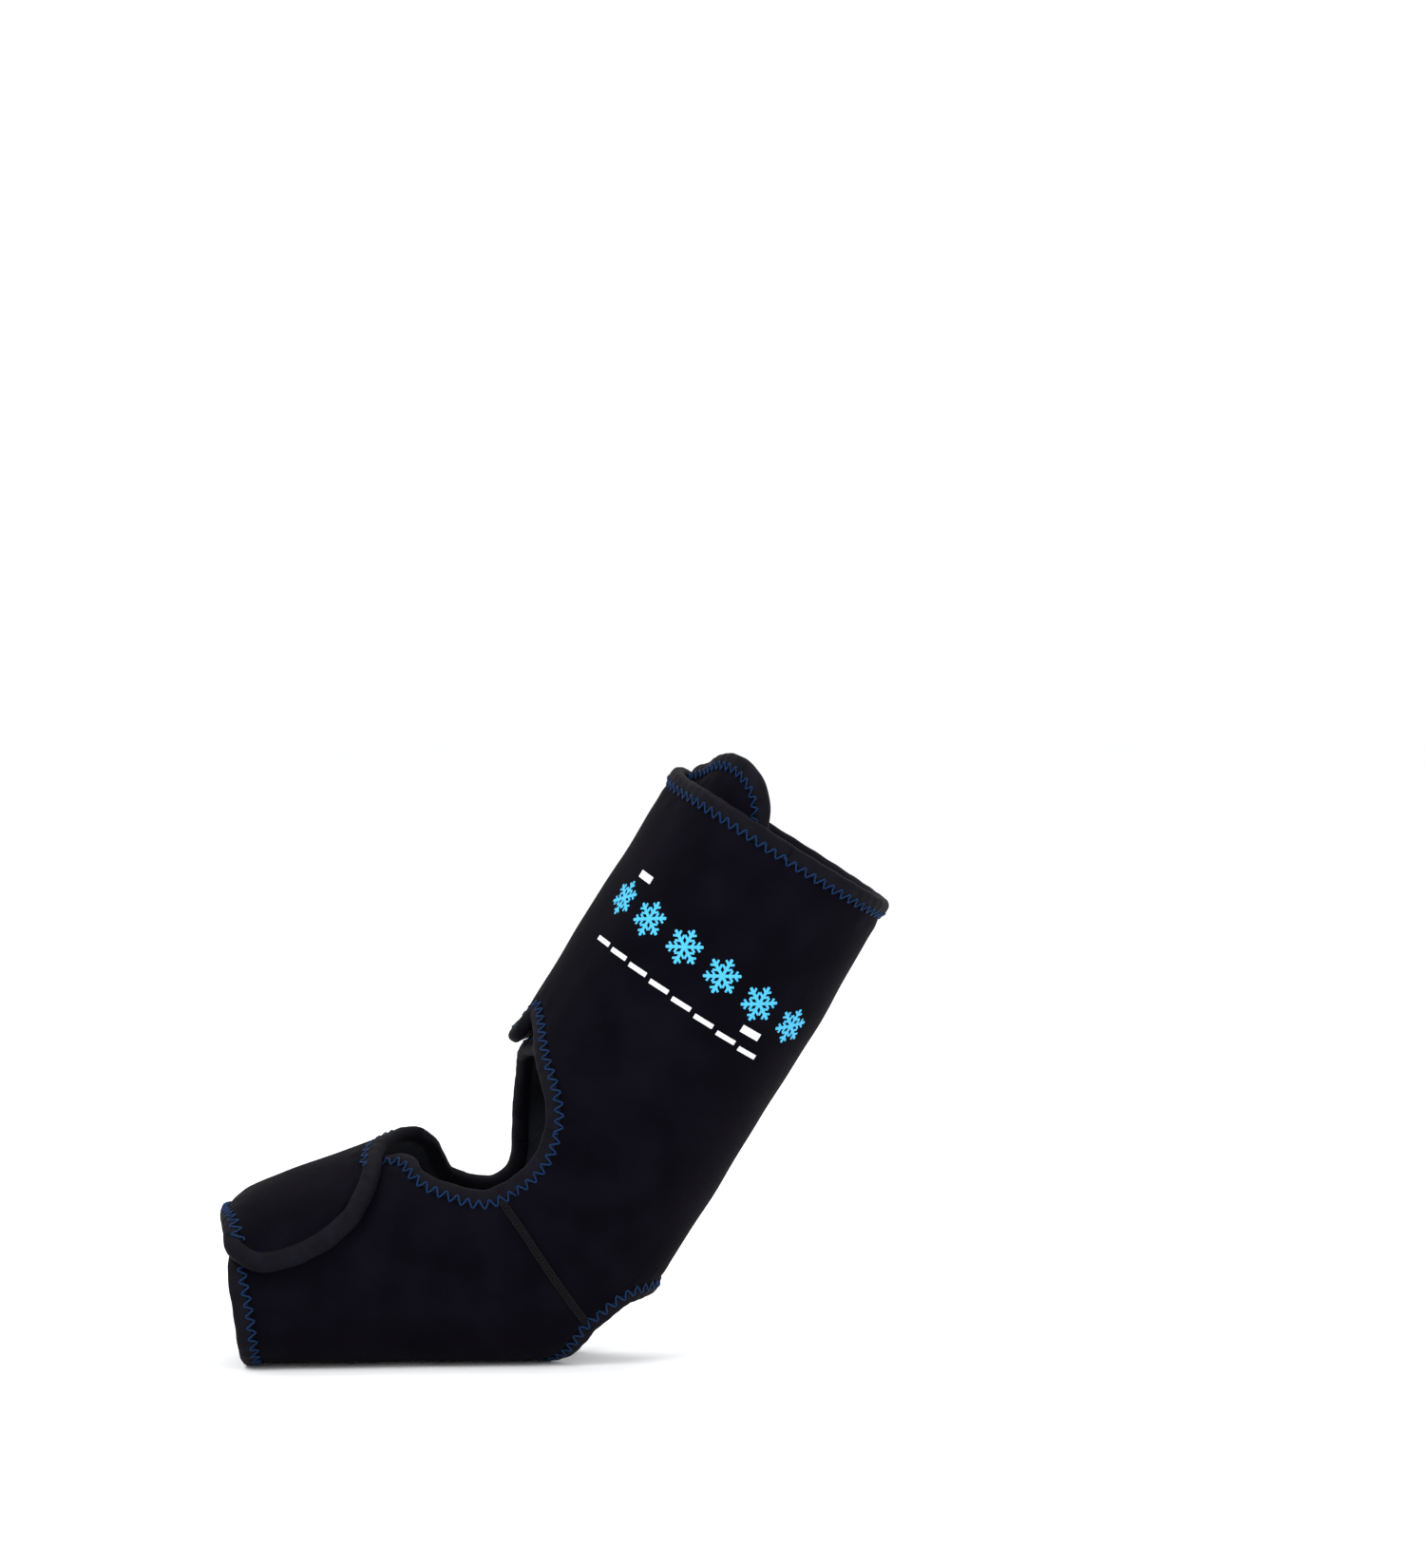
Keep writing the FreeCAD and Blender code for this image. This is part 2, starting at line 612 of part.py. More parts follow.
SHAPES["front_snowflakes"] = lambda: snowflakes([FLAKE_FROM + FLAKE_STEP * k for k in range(3)])
SHAPES["rear_snowflakes"] = lambda: snowflakes([FLAKE_FROM + FLAKE_STEP * k for k in range(3, 6)])
SHAPES["front_dashes"] = lambda: dashes(0, 4, FRONT_ACCENT, flap_lift)
SHAPES["rear_dashes"] = lambda: dashes(4, 8, REAR_ACCENT, flat)


if __name__ == "__main__":
    os.makedirs("parts", exist_ok=True)
    for name, make in SHAPES.items():
        shape = make()
        if not shape.isValid() or shape.Volume < 1:
            print("check", name, shape.isValid(), shape.Volume)
        shape.exportStep(f"parts/{name}.step")
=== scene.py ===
"""Cold compression wrap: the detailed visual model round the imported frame."""
import math
import bpy
import numpy as np
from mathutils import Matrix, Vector


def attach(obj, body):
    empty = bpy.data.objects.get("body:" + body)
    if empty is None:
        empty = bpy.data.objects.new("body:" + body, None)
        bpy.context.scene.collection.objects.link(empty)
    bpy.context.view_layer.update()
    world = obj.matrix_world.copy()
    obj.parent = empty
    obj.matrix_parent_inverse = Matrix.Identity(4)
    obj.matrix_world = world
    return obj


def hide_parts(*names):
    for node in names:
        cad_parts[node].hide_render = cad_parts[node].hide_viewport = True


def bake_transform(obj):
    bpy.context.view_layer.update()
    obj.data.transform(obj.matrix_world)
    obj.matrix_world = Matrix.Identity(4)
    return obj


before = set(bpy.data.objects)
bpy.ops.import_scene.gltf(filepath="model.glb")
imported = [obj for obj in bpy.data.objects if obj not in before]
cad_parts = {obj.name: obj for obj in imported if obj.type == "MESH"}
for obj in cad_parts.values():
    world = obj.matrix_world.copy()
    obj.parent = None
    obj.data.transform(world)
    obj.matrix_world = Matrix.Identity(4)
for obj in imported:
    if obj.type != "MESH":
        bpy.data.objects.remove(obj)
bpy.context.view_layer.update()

MM = 0.001
TURN = 2 * math.pi

# ---- the sleeve surface, in millimetres, as the CAD model has it ----
LEAN = math.radians(58.0)
PIVOT = np.array([-52.0, 100.0])
ANKLE_TURN = 56.0
RIM = ANKLE_TURN + 161.5
NEOPRENE = 3.5
TAPE = 6.0
LAP = 2.1
TAB_SINK = 5.7
SHIN_LINE = -80.8
FOLD_LOW, FOLD_ACROSS = (2.0, 91.0), 52.0
ROOT_LOW, ROOT_ACROSS = (-13.0, 82.0), 40.0
FLAP_END = -56.0
STRAP_ROOT, STRAP_HEEL = -48.0, 11.0
FRONT_REACH = [(-76, 47), (-64, 38), (-51, 32.5), (-38, 28), (-25, 23.5), (-12, 19), (0, 15.5),
               (28, 16), (56, 20.3), (240, 20.3)]
HALF_WIDTH = [(-76, 43.5), (-38, 41), (0, 36.5), (32, 35), (60, 37.5), (95, 41.5), (135, 44),
              (240, 46)]
SOLE_REACH, BACK_REACH, RIM_TUCK = 100.0, 115.0, 2.5
ROUND, SOLE_SQUARE = 2.12, 3.3
AXIS = np.array([math.cos(LEAN), math.sin(LEAN)])
ACROSS = np.array([math.sin(LEAN), -math.cos(LEAN)])
PIVOT_UP = float(PIVOT @ AXIS)
PANEL_TOP = RIM - TAPE
UP_TOP = PANEL_TOP - ANKLE_TURN + PIVOT_UP


def ease(low, high, value):
    x = np.clip((value - low) / (high - low), 0.0, 1.0)
    return x * x * (3.0 - 2.0 * x)


def through(pairs):
    """A monotone cubic through (x, y) pairs, level beyond its ends."""
    xs, ys = (np.array([p[k] for p in pairs], float) for k in (0, 1))
    rise = np.diff(ys) / np.diff(xs)
    slope = np.zeros(len(xs))
    same = rise[:-1] * rise[1:] > 0
    slope[1:-1][same] = (2 * rise[:-1] * rise[1:])[same] / (rise[:-1] + rise[1:])[same]

    def value(x):
        x = np.clip(x, xs[0], xs[-1])
        i = np.clip(np.searchsorted(xs, x, side="right") - 1, 0, len(xs) - 2)
        width = xs[i + 1] - xs[i]
        f = (x - xs[i]) / width
        return (ys[i] * (1 + 2 * f) * (1 - f) ** 2 + ys[i + 1] * f * f * (3 - 2 * f)
                + slope[i] * width * f * (1 - f) ** 2 - slope[i + 1] * width * f * f * (1 - f))
    return value


front_reach = through(FRONT_REACH)
half_width = through(HALF_WIDTH)


def base(s, t):
    """Points of the sleeve surface at stations s and angles t."""
    s, t = np.broadcast_arrays(np.asarray(s, float), np.asarray(t, float))
    turn = np.clip(LEAN * s / ANKLE_TURN, 0.0, LEAN)
    down = np.stack([np.sin(turn), -np.cos(turn)], -1)
    start = (PIVOT + np.minimum(s, 0)[..., None] * [1.0, 0.0]
             + np.maximum(s - ANKLE_TURN, 0)[..., None] * AXIS)
    sole = SOLE_REACH / np.cos(turn)
    back = BACK_REACH / np.sin(turn + math.pi / 2 - LEAN)
    reach = (sole ** -12 + back ** -12) ** (-1.0 / 12)
    reach = np.where(s <= 0, SOLE_REACH, reach)
    reach = np.where(s >= ANKLE_TURN, BACK_REACH - RIM_TUCK * ease(RIM - 60, RIM, s), reach)
    near = front_reach(s)
    middle, deep = (near + reach) / 2, (reach - near) / 2
    c, n = np.cos(np.radians(t)), np.sin(np.radians(t))
    square = ROUND + (SOLE_SQUARE - ROUND) * ease(0, 1, (1 - c) / 2) * (
        1 - ease(-5, ANKLE_TURN + 10, s))
    out = (np.abs(c / deep) ** square + np.abs(n / half_width(s)) ** square) ** (-1.0 / square)
    r = (middle - out * c)[..., None]
    flat = start + r * down
    return np.stack([flat[..., 0], -out * n, flat[..., 1]], -1)


def unit(vectors):
    return vectors / np.linalg.norm(vectors, axis=-1, keepdims=True)


def slopes(s, t):
    return base(s + 0.5, t) - base(s - 0.5, t), base(s, t + 0.5) - base(s, t - 0.5)


def normal(s, t):
    along, around = slopes(s, t)
    return unit(np.cross(around, along))


def skin(s, t, offset, floor=0.0):
    """Points at an offset from the sleeve surface, outwards positive, kept above the floor."""
    p = base(s, t) + normal(s, t) * np.asarray(offset)[..., None]
    p[..., 2] = np.maximum(p[..., 2], floor)
    return p


def at(value, places):
    return value(places[..., 0], places[..., 1])


def over(places, offset, floor=0.0):
    return skin(places[..., 0], places[..., 1], offset, floor)


def place(x, z, offset=0.0, side=1):
    """Station and angle of the point that is seen at x, z from the side, at an offset."""
    aim, angles = np.array([x, z], float), np.linspace(0.5, 179.5, 720)
    for _ in range(4):
        d = aim - PIVOT
        up = d @ AXIS
        if d[0] <= 0:
            s, reach = d[0], lambda q: -q[..., 1]
        elif up >= 0:
            s, reach = ANKLE_TURN + up, lambda q: q @ ACROSS
        else:
            s, reach = ANKLE_TURN * math.atan2(d[0], -d[1]) / LEAN, lambda q: np.hypot(*q.T)
        t = float(np.interp(reach(d), reach(base(s, angles)[:, [0, 2]] - PIVOT), angles))
        seen = skin(s, t, offset, -99)
        aim += [x - seen[0], z - seen[2]]
    return (s, side * t)


# ---- lines and patches on the sleeve ----
def travelled(spots, axis=0):
    """Distance run along each line of points, from 0."""
    run = np.linalg.norm(np.diff(spots, axis=axis), axis=-1).cumsum(axis)
    return np.insert(run, 0, 0.0, axis)


def spread(values, run, count):
    """Rows of values, read off at even distances along a run."""
    want = np.linspace(0, run[-1], count)
    return np.stack([np.interp(want, run, values[:, k]) for k in range(values.shape[1])], -1)


def spline(knots, values, wanted):
    """A natural cubic spline through rows of values, read off at the wanted knots."""
    h, n = np.diff(knots), len(knots)
    system, right = np.eye(n), np.zeros(values.shape)
    for i in range(1, n - 1):
        system[i, i - 1:i + 2] = h[i - 1], 2 * (h[i - 1] + h[i]), h[i]
        right[i] = 6 * ((values[i + 1] - values[i]) / h[i] - (values[i] - values[i - 1]) / h[i - 1])
    bend = np.linalg.solve(system, right)
    k = np.clip(np.searchsorted(knots, wanted, side="right") - 1, 0, n - 2)
    a, b, w = ((x[:, None]) for x in (knots[k + 1] - wanted, wanted - knots[k], h[k]))
    return ((bend[k] * a ** 3 + bend[k + 1] * b ** 3) / (6 * w)
            + (values[k] / w - bend[k] * w / 6) * a + (values[k + 1] / w - bend[k + 1] * w / 6) * b)


def line(points, count):
    """Evenly spaced places on a smooth line through a few places, as an array of (s, t)."""
    points = np.asarray(points, float)
    knots = travelled(points)
    fine = spline(knots, points, np.linspace(0, knots[-1], max(400, 8 * count)))
    return spread(fine, travelled(fine), count)


def shift(places, width, steps=3):
    """The same line moved sideways over the surface, to its right when seen from outside."""
    places = np.array(places, float)
    for _ in range(steps):
        s, t = places[:, 0], places[:, 1]
        side = unit(np.cross(np.gradient(base(s, t), axis=0), normal(s, t)))
        side *= (np.asarray(width) / steps).reshape(-1, 1)
        to_places = np.linalg.pinv(np.stack(slopes(s, t), -1))
        places = places + (to_places @ side[..., None])[..., 0]
    return places


def coons(bottom, top, left, right):
    """Grid of places inside four lines, of which opposite ones run the same way."""
    u = np.linspace(0, 1, len(bottom))[None, :, None]
    v = np.linspace(0, 1, len(left))[:, None, None]
    bottom, top = bottom[None], top[None]
    left, right = left[:, None], right[:, None]
    return ((1 - v) * bottom + v * top + (1 - u) * left + u * right
            - (1 - u) * (1 - v) * bottom[:, :1] - u * (1 - v) * bottom[:, -1:]
            - (1 - u) * v * top[:, :1] - u * v * top[:, -1:])


def leg(across, up):
    return tuple(up * AXIS + (across + SHIN_LINE) * ACROSS)


def station(up):
    return ANKLE_TURN + up - PIVOT_UP


def inner_side(places):
    return places * [1, -1]


def past_sole(places):
    return places + np.where(places[:, 1:] < 0, [0, 360], 0)


def joined(*lines):
    return np.concatenate([np.asarray(x, float).reshape(-1, 2) for x in lines])


def side_line(low, high, count, side=1):
    return np.array([place(*(low + np.subtract(high, low) * f), side=side)
                     for f in np.linspace(0, 1, count)])


# ---- outlines, as the CAD panels have them ----
seam_top = place(-20, 65)
heel_corner = place(12.6, 16.8)
ankle_seam = line([seam_top, place(-4, 41.5), heel_corner], 13)
seam_to_fold = line([seam_top, place(-10.2, 71), place(-3.2, 78.2), place(*FOLD_LOW)], 7)
seam_to_root = inner_side(line([seam_top, place(-14.5, 71.5), place(*ROOT_LOW)], 7))
fold = side_line(FOLD_LOW, leg(FOLD_ACROSS, UP_TOP), 15)
root = side_line(ROOT_LOW, leg(ROOT_ACROSS, UP_TOP), 15, side=-1)
sole_half = [heel_corner, place(7.6, 10.2), place(2.2, 4), (25.3, 165), (24, 180)]
back_half = [heel_corner, place(21.5, 24), place(33.5, 29.6), (50.3, 165), (51, 180)]


def carried_round(half):
    return half + [(s, 360 - t) for s, t in reversed(half[:-1])]


heel_low = line(carried_round(sole_half), 19)
heel_high = line(carried_round(back_half), 19)
heel_edge = joined(heel_low[9::-1], heel_high[1:], heel_low[-2:8:-1])
toe_edge = line([(-60, 22), place(-118, 38.2), place(-116, 26), place(-114.6, 14.2),
                 (-61.5, 150), (-61, 180), (-61.5, 210), (-63, 260), (-65, 290),
                 (-66, 360 + STRAP_ROOT)], 41)
outer_top = line([toe_edge[0], (-40, 21), (-16, 22), place(-61.5, 78), place(-53.1, 72.4),
                  place(-41.5, 66.5), place(-29.5, 63.2), seam_top], 21)
strap_root = line([(-66, STRAP_ROOT), (-40, STRAP_ROOT), (STRAP_HEEL, STRAP_ROOT)], 9)
opening_inner = inner_side(line([(STRAP_HEEL, -STRAP_ROOT), place(-34, 63.5),
                                 place(-27, 62.6), seam_top], 13))
flap_low = line([(station(114), FLAP_END + 6), (station(108), FLAP_END + 24), (station(106), 0),
                 place(-8, 133), place(-2.6, 119.4), place(1, 108), place(2.6, 98),
                 place(*FOLD_LOW)], 27)
flap_end = line([flap_low[0], (station(124), FLAP_END), (station(195), FLAP_END),
                 (station(206), FLAP_END + 6)], 15)
flap_high = line([flap_end[-1], (PANEL_TOP, FLAP_END + 20), (PANEL_TOP, -5), (PANEL_TOP, 30),
                  fold[-1]], 27)
flap_edge = joined(flap_high[::-1], flap_end[-2::-1], flap_low[1:])
tab_low = line([root[0], place(-13, 97, side=-1), (station(93), -24), (station(103), 8),
                (station(114), 38), (station(126), 55)], 27)
tab_end = line([tab_low[-1], (station(142), 63), (station(165), 70), (station(190), 74),
                (station(211), 73)], 15)
tab_high = line([root[-1], (station(215), -40), (station(222), 0), (station(229.5), 26),
                 (station(230.5), 45), (station(224), 63), tab_end[-1]], 27)
tab_edge = joined(tab_low, tab_end[1:], tab_high[-2::-1])


def on_strap(x, z):
    return place(x, z, LAP + NEOPRENE)


strap_toe = line([(-66, STRAP_ROOT), (-70, -20), (-72, 12), on_strap(-123.2, 58),
                  on_strap(-119.5, 50.5)], 19)
strap_near = line([strap_toe[-1], on_strap(-113.5, 47), on_strap(-104, 47.2), on_strap(-94.5, 50.6),
                   on_strap(-85.5, 56.2), on_strap(-79, 62.4)], 13)
strap_heel = line([strap_near[-1], on_strap(-74.2, 72), (-17, 8), (-1, -22),
                   (STRAP_HEEL, STRAP_ROOT)], 19)
strap_edge = joined(strap_toe, strap_near[1:], strap_heel[1:])
rim_edge = line([(PANEL_TOP, 360 + root[-1][1]), (PANEL_TOP, 240), (PANEL_TOP, 180),
                 (PANEL_TOP, 120), fold[-1]], 41)
outer_opening = joined(seam_to_fold[::-1], outer_top[-2::-1])
inner_opening = joined(opening_inner[1:], seam_to_root[1:])


def flat(t):
    return np.zeros(np.shape(t))


def strap_lift(t):
    return (LAP + NEOPRENE) * ease(STRAP_ROOT + 4, -8, t)


def flap_lift(t):
    return (LAP + NEOPRENE) * (1 - ease(-18, 28, t))


def tab_lift(t):
    return -TAB_SINK * ease(-22, 8, t)


# ---- materials ----
def linear(*rgb):
    return tuple((c / 12.92 if c <= 0.04045 else ((c + 0.055) / 1.055) ** 2.4)
                 for c in (x / 255 for x in rgb)) + (1.0,)


def noise(scale, detail=3.0):
    return "Noise", "Fac", {"Scale": scale, "Detail": detail}


def cells(scale, *space):
    return "Voronoi", "Distance", {"Scale": scale}, *space


def bands(scale, direction="X", *space):
    return "Wave", "Fac", {"Scale": scale, "bands_direction": direction}, *space


class Shader:
    """A Principled material with a few short ways to add nodes."""

    def __init__(self, name, roughness=0.7, **sockets):
        self.material = bpy.data.materials.new(name)
        self.material.use_nodes = True
        self.tree = self.material.node_tree
        self.link = self.tree.links.new
        self.main = self.tree.nodes["Principled BSDF"]
        self.main.inputs["Roughness"].default_value = roughness
        for socket, value in sockets.items():
            self.main.inputs[socket.replace("_", " ")].default_value = value
        self.spot = self.tree.nodes.new("ShaderNodeTexCoord")
        self.bumped = None

    def node(self, kind, **values):
        made = self.tree.nodes.new(kind)
        for key, value in values.items():
            if key in made.inputs:
                made.inputs[key].default_value = value
            else:
                setattr(made, key, value)
        return made

    def pattern(self, kind, output, values, places="Object", scale=(1, 1, 1), turn=0.0):
        """A texture over the object's places, or over the texture places (UV) of its mesh."""
        mapping = self.node("ShaderNodeMapping", Scale=scale, Rotation=(0, 0, turn))
        made = self.node("ShaderNodeTex" + kind, **values)
        self.link(self.spot.outputs[places], mapping.inputs["Vector"])
        self.link(mapping.outputs["Vector"], made.inputs["Vector"])
        return made.outputs[output]

    def colour(self, fac, *stops):
        made = self.node("ShaderNodeValToRGB")
        while len(made.color_ramp.elements) < len(stops):
            made.color_ramp.elements.new(0.5)
        for element, (where, colour) in zip(made.color_ramp.elements, stops):
            element.position, element.color = where, colour
        self.link(fac, made.inputs["Fac"])
        self.link(made.outputs["Color"], self.main.inputs["Base Color"])

    def rough(self, fac, low, high):
        made = self.node("ShaderNodeMapRange", **{"To Min": low, "To Max": high})
        self.link(fac, made.inputs["Value"])
        self.link(made.outputs["Result"], self.main.inputs["Roughness"])

    def bump(self, fac, strength, depth):
        made = self.node("ShaderNodeBump", Strength=strength, Distance=depth * MM)
        self.link(fac, made.inputs["Height"])
        if self.bumped:
            self.link(self.bumped, made.inputs["Normal"])
        self.bumped = made.outputs["Normal"]
        self.link(self.bumped, self.main.inputs["Normal"])


def surface(name, mottle, stops, unevenness, roughness, bumps, **sockets):
    """A material from the pattern and stops of its colour, the pattern and range of its roughness,
    and its bumps: pattern, strength, depth in mm. A bump with no pattern follows the colour's."""
    m = Shader(name, **sockets)
    tint = m.pattern(*mottle)
    m.colour(tint, *((spot, linear(*rgb)) for spot, rgb in stops))
    m.rough(m.pattern(*unevenness), *roughness)
    for pattern, strength, depth in bumps:
        m.bump(m.pattern(*pattern) if pattern else tint, strength, depth)
    return m.material


def jersey(name, dark, light, sheen, roughness=(0.72, 0.9)):
    """Knit cloth laminated on neoprene: a soft mottle, fine loops and faint lint."""
    loops = cells(950, "Object", (1, 1, 0.75))
    return surface(name, noise(60, 4), [(0.3, dark), (0.72, light)], noise(240, 2), roughness,
                   [(noise(34, 2), 0.35, 0.5), (loops, 0.55, 0.16), (noise(1700, 2), 0.4, 0.1)],
                   Sheen_Weight=sheen, Sheen_Roughness=0.45, Specular_IOR_Level=0.025)


def twisted_thread(name, dark, light):
    """Thread twisted from strands: slanting bands bump it, and darken its grooves as painted shade.
    """
    # colour stops: painted shade, dark where the bump dips between strands and light on their
    # crowns
    return surface(name, bands(0.35, "X", "UV", (1, 1, 1), 0.9), [(0.1, dark), (0.8, light)],
                   noise(700), (0.42, 0.6), [(None, 0.6, 0.12)],
                   Sheen_Weight=0.02, Specular_IOR_Level=0.08)


def ink(name, main, worn):
    """Screen print that sits on the knit and takes a little of its grain."""
    return surface(name, noise(900, 4), [(0.22, worn), (0.42, main)], noise(300), (0.45, 0.62),
                   [(cells(950), 0.35, 0.08)], Specular_IOR_Level=0.3)


NEOPRENE_CLOTH = jersey("neoprene_jersey", (4, 3, 8), (9, 7, 14), 0.007)
LINING = jersey("lining_jersey", (20, 21, 26), (36, 37, 44), 0.08, (0.8, 0.95))
# folded tape, with fine ribs across it and along it
BINDING = surface(
    "binding_ribs", noise(160), [(0.3, (7, 7, 11)), (0.75, (15, 14, 22))],
    noise(300), (0.62, 0.8),
    [(bands(0.42, "X", "UV"), 0.5, 0.14), (bands(0.5, "Y", "UV"), 0.25, 0.08),
     (noise(1500, 2), 0.35, 0.08)],
    Sheen_Weight=0.012, Sheen_Roughness=0.35, Specular_IOR_Level=0.05)
BLUE_THREAD = twisted_thread("blue_thread", (4, 20, 44), (10, 46, 88))
DARK_THREAD = twisted_thread("dark_thread", (2, 2, 5), (7, 6, 12))
HOOK = surface(
    "hook_nylon", noise(420, 2), [(0.35, (22, 22, 26)), (0.7, (44, 44, 50))],
    noise(500), (0.34, 0.52), [(bands(520), 0.3, 0.1)], Specular_IOR_Level=0.45)
LOOP = surface(
    "loop_pile", noise(900, 4), [(0.3, (12, 12, 16)), (0.75, (36, 36, 43))],
    noise(300), (0.8, 0.95), [(noise(1200, 4), 0.8, 0.3)],
    Sheen_Weight=0.16, Sheen_Roughness=0.6, Specular_IOR_Level=0.15)
# cloudy gel behind a clear film, which is glossy and creased
GEL = surface(
    "blue_gel", noise(70, 4),
    [(0.28, (18, 84, 160)), (0.6, (44, 132, 206)), (0.85, (110, 184, 232))],
    noise(120), (0.2, 0.36), [(noise(90), 0.5, 0.8), (noise(500, 2), 0.2, 0.1)],
    Coat_Weight=0.8, Coat_Roughness=0.12, Specular_IOR_Level=0.5,
    Subsurface_Weight=0.25, Subsurface_Scale=0.01)
# net: its openings are painted shade, dark where the bump dips at the middle of each cell
MESH_CLOTH = surface(
    "pocket_net", cells(0.42, "UV"), [(0.15, (14, 14, 18)), (0.6, (52, 54, 62))],
    noise(400), (0.6, 0.8), [(None, 0.7, 0.3)], Sheen_Weight=0.2, Specular_IOR_Level=0.3)
CYAN = ink("cyan_ink", (60, 166, 206), (46, 140, 184))
WHITE = ink("white_ink", (208, 211, 216), (176, 181, 190))


# ---- mesh making ----
def in_scene(name, data):
    made = bpy.data.objects.new(name, data)
    bpy.context.scene.collection.objects.link(made)
    return made


def add_mesh(name, points, faces, *materials, indices=None, uv=None):
    """Mesh object from millimetre points; uv is one (u, v) for each point, in millimetres."""
    mesh = bpy.data.meshes.new(name)
    mesh.from_pydata((points * MM).tolist(), [], faces)
    for material in materials:
        mesh.materials.append(material)
    if indices is not None:
        mesh.polygons.foreach_set("material_index", np.asarray(indices, np.int32))
    if uv is not None:
        layer = mesh.uv_layers.new(name="UVMap")
        corner = np.zeros(len(mesh.loops), np.int32)
        mesh.loops.foreach_get("vertex_index", corner)
        layer.data.foreach_set("uv", np.asarray(uv, np.float32)[corner].ravel())
    mesh.polygons.foreach_set("use_smooth", np.ones(len(mesh.polygons), bool))
    mesh.update()
    return in_scene(name, mesh)


def quads(rows, columns, first=0, wrap=False, ring=False):
    """Faces of a grid of points; wrap joins its last column to the first, and ring its last row."""
    j, i = np.meshgrid(np.arange(rows if ring else rows - 1),
                       np.arange(columns if wrap else columns - 1), indexing="ij")
    after, above = (i + 1) % columns, (j + 1) % rows * columns
    return (first + np.stack([j * columns + i, j * columns + after, above + after, above + i],
                             -1)).reshape(-1, 4)


def signed_volume(points, faces):
    a, b, c, d = (points[faces[:, k]] for k in range(4))
    return float((np.cross(b - a, c - a) * a).sum() + (np.cross(c - a, d - a) * a).sum())


def shell(outer, inner):
    """The closed solid between two grids: its points, its faces, and 1 for each inner face."""
    rows, columns = outer.shape[:2]
    points = np.r_[outer.reshape(-1, 3), inner.reshape(-1, 3)]
    count = rows * columns
    top = quads(rows, columns)
    under = quads(rows, columns, count)[:, ::-1]
    index = np.arange(count).reshape(rows, columns)
    ring = np.r_[index[0], index[1:, -1], index[-1, -2::-1], index[-2:0:-1, 0]]
    after = np.roll(ring, -1)
    wall = np.stack([ring + count, after + count, after, ring], -1)
    faces = np.r_[top, under, wall]
    kinds = np.r_[np.zeros(len(top)), np.ones(len(under)), np.zeros(len(wall))]
    if signed_volume(points, faces) < 0:
        faces = faces[:, ::-1]
    return points, faces.tolist(), kinds


SHARP = math.radians(50)  # an edge that bends more than this is left sharp


def sharpened(piece):
    piece.data.set_sharp_from_angle(angle=SHARP)
    return piece


# ---- the worn cloth ----
SLOW_FOLD, CROSS_FOLD, ANKLE_FOLD = 0.32, 0.16, 0.55
ANKLE_AT, ANKLE_REACH = 22.0, 26.0
PUCKER = 5.4  # distance between the gathers that the stitches make
SMOOTH_NEAR_SEAM = 11.0
# Relief along a sewn edge: height, distance from it, width, unevenness, waves to a gather, phase.
SEAM_RELIEF = [(-0.42, 0.4, 1.9, 0.35, 1.0, 0.0), (0.22, 5.5, 2.6, 0.5, 0.5, 1.0)]


def wrinkles(s, t):
    """Soft unevenness of the worn cloth, in millimetres, with folds that fan out over the ankle.
    Its rates and phases only keep the folds from repeating."""
    turn = np.radians(t)
    slow = SLOW_FOLD * (np.sin(0.075 * s + 2.1 * np.sin(turn * 1.3))
                        * np.sin(0.031 * s + 2.3 * turn + 0.6))
    cross = CROSS_FOLD * np.sin(0.19 * s - 3.0 * turn + 1.1) * np.sin(0.047 * s + 5.2 * turn)
    ankle = np.exp(-((s - ANKLE_AT) / ANKLE_REACH) ** 2) * np.clip(np.sin(turn), 0, 1) ** 1.5
    return slow + cross + ANKLE_FOLD * ankle * np.sin(0.42 * s + 1.4 * np.sin(2 * turn))


def creases(grid, sewn):
    """Wrinkles that die out near the sewn edges, plus the pull of the stitches there."""
    p = at(base, grid)
    along, across = travelled(p), travelled(p, 1)
    gaps = [along, along[-1:] - along, across, across[:, -1:] - across]
    near = np.ones(p.shape[:2])
    pull = np.zeros(p.shape[:2])
    for gap, run, held in zip(gaps, (across, across, along, along), sewn):
        if held:
            near = near * ease(0, SMOOTH_NEAR_SEAM, gap)
            wave = run * TURN / PUCKER
            for high, where, wide, uneven, rate, phase in SEAM_RELIEF:
                bump = high * np.exp(-((gap - where) / wide) ** 2)
                pull += bump * (1 + uneven * np.sin(wave * rate + phase))
    return near * at(wrinkles, grid) + pull


def cloth_panel(name, grid, lift, sewn):
    """A panel of neoprene: knit cloth outside, lining inside."""
    relief, up = creases(grid, sewn), lift(grid[..., 1])
    lining = over(grid, up - NEOPRENE + 0.5 * relief, floor=0.02)
    points, faces, kinds = shell(over(grid, up + relief), lining)
    return sharpened(add_mesh(name, points, faces, NEOPRENE_CLOTH, LINING, indices=kinds))


def dense(values, count):
    """Rows of values on a smooth line, sampled evenly in row number."""
    rows = len(values)
    fine = spline(np.arange(rows), np.reshape(values, (rows, -1)), np.linspace(0, rows - 1, count))
    return fine.reshape((count,) + np.shape(values)[1:])


WIDTHS = np.array([-3.0, 0.0, 3.1, TAPE])  # sideways from a border, into the panel


def edge_frame(places, spacing):
    """Lines beside a border, evenly sampled, as (sample, width, 2), and the run in millimetres."""
    lines = np.stack([shift(places, w) for w in WIDTHS], 1)
    fine = dense(lines, 40 * len(places))
    run = travelled(at(base, fine[:, 1]))
    count = int(round(run[-1] / spacing)) + 1
    even_lines = spread(fine.reshape(len(fine), -1), run, count)
    return even_lines.reshape(count, len(WIDTHS), 2), np.linspace(0, run[-1], count)


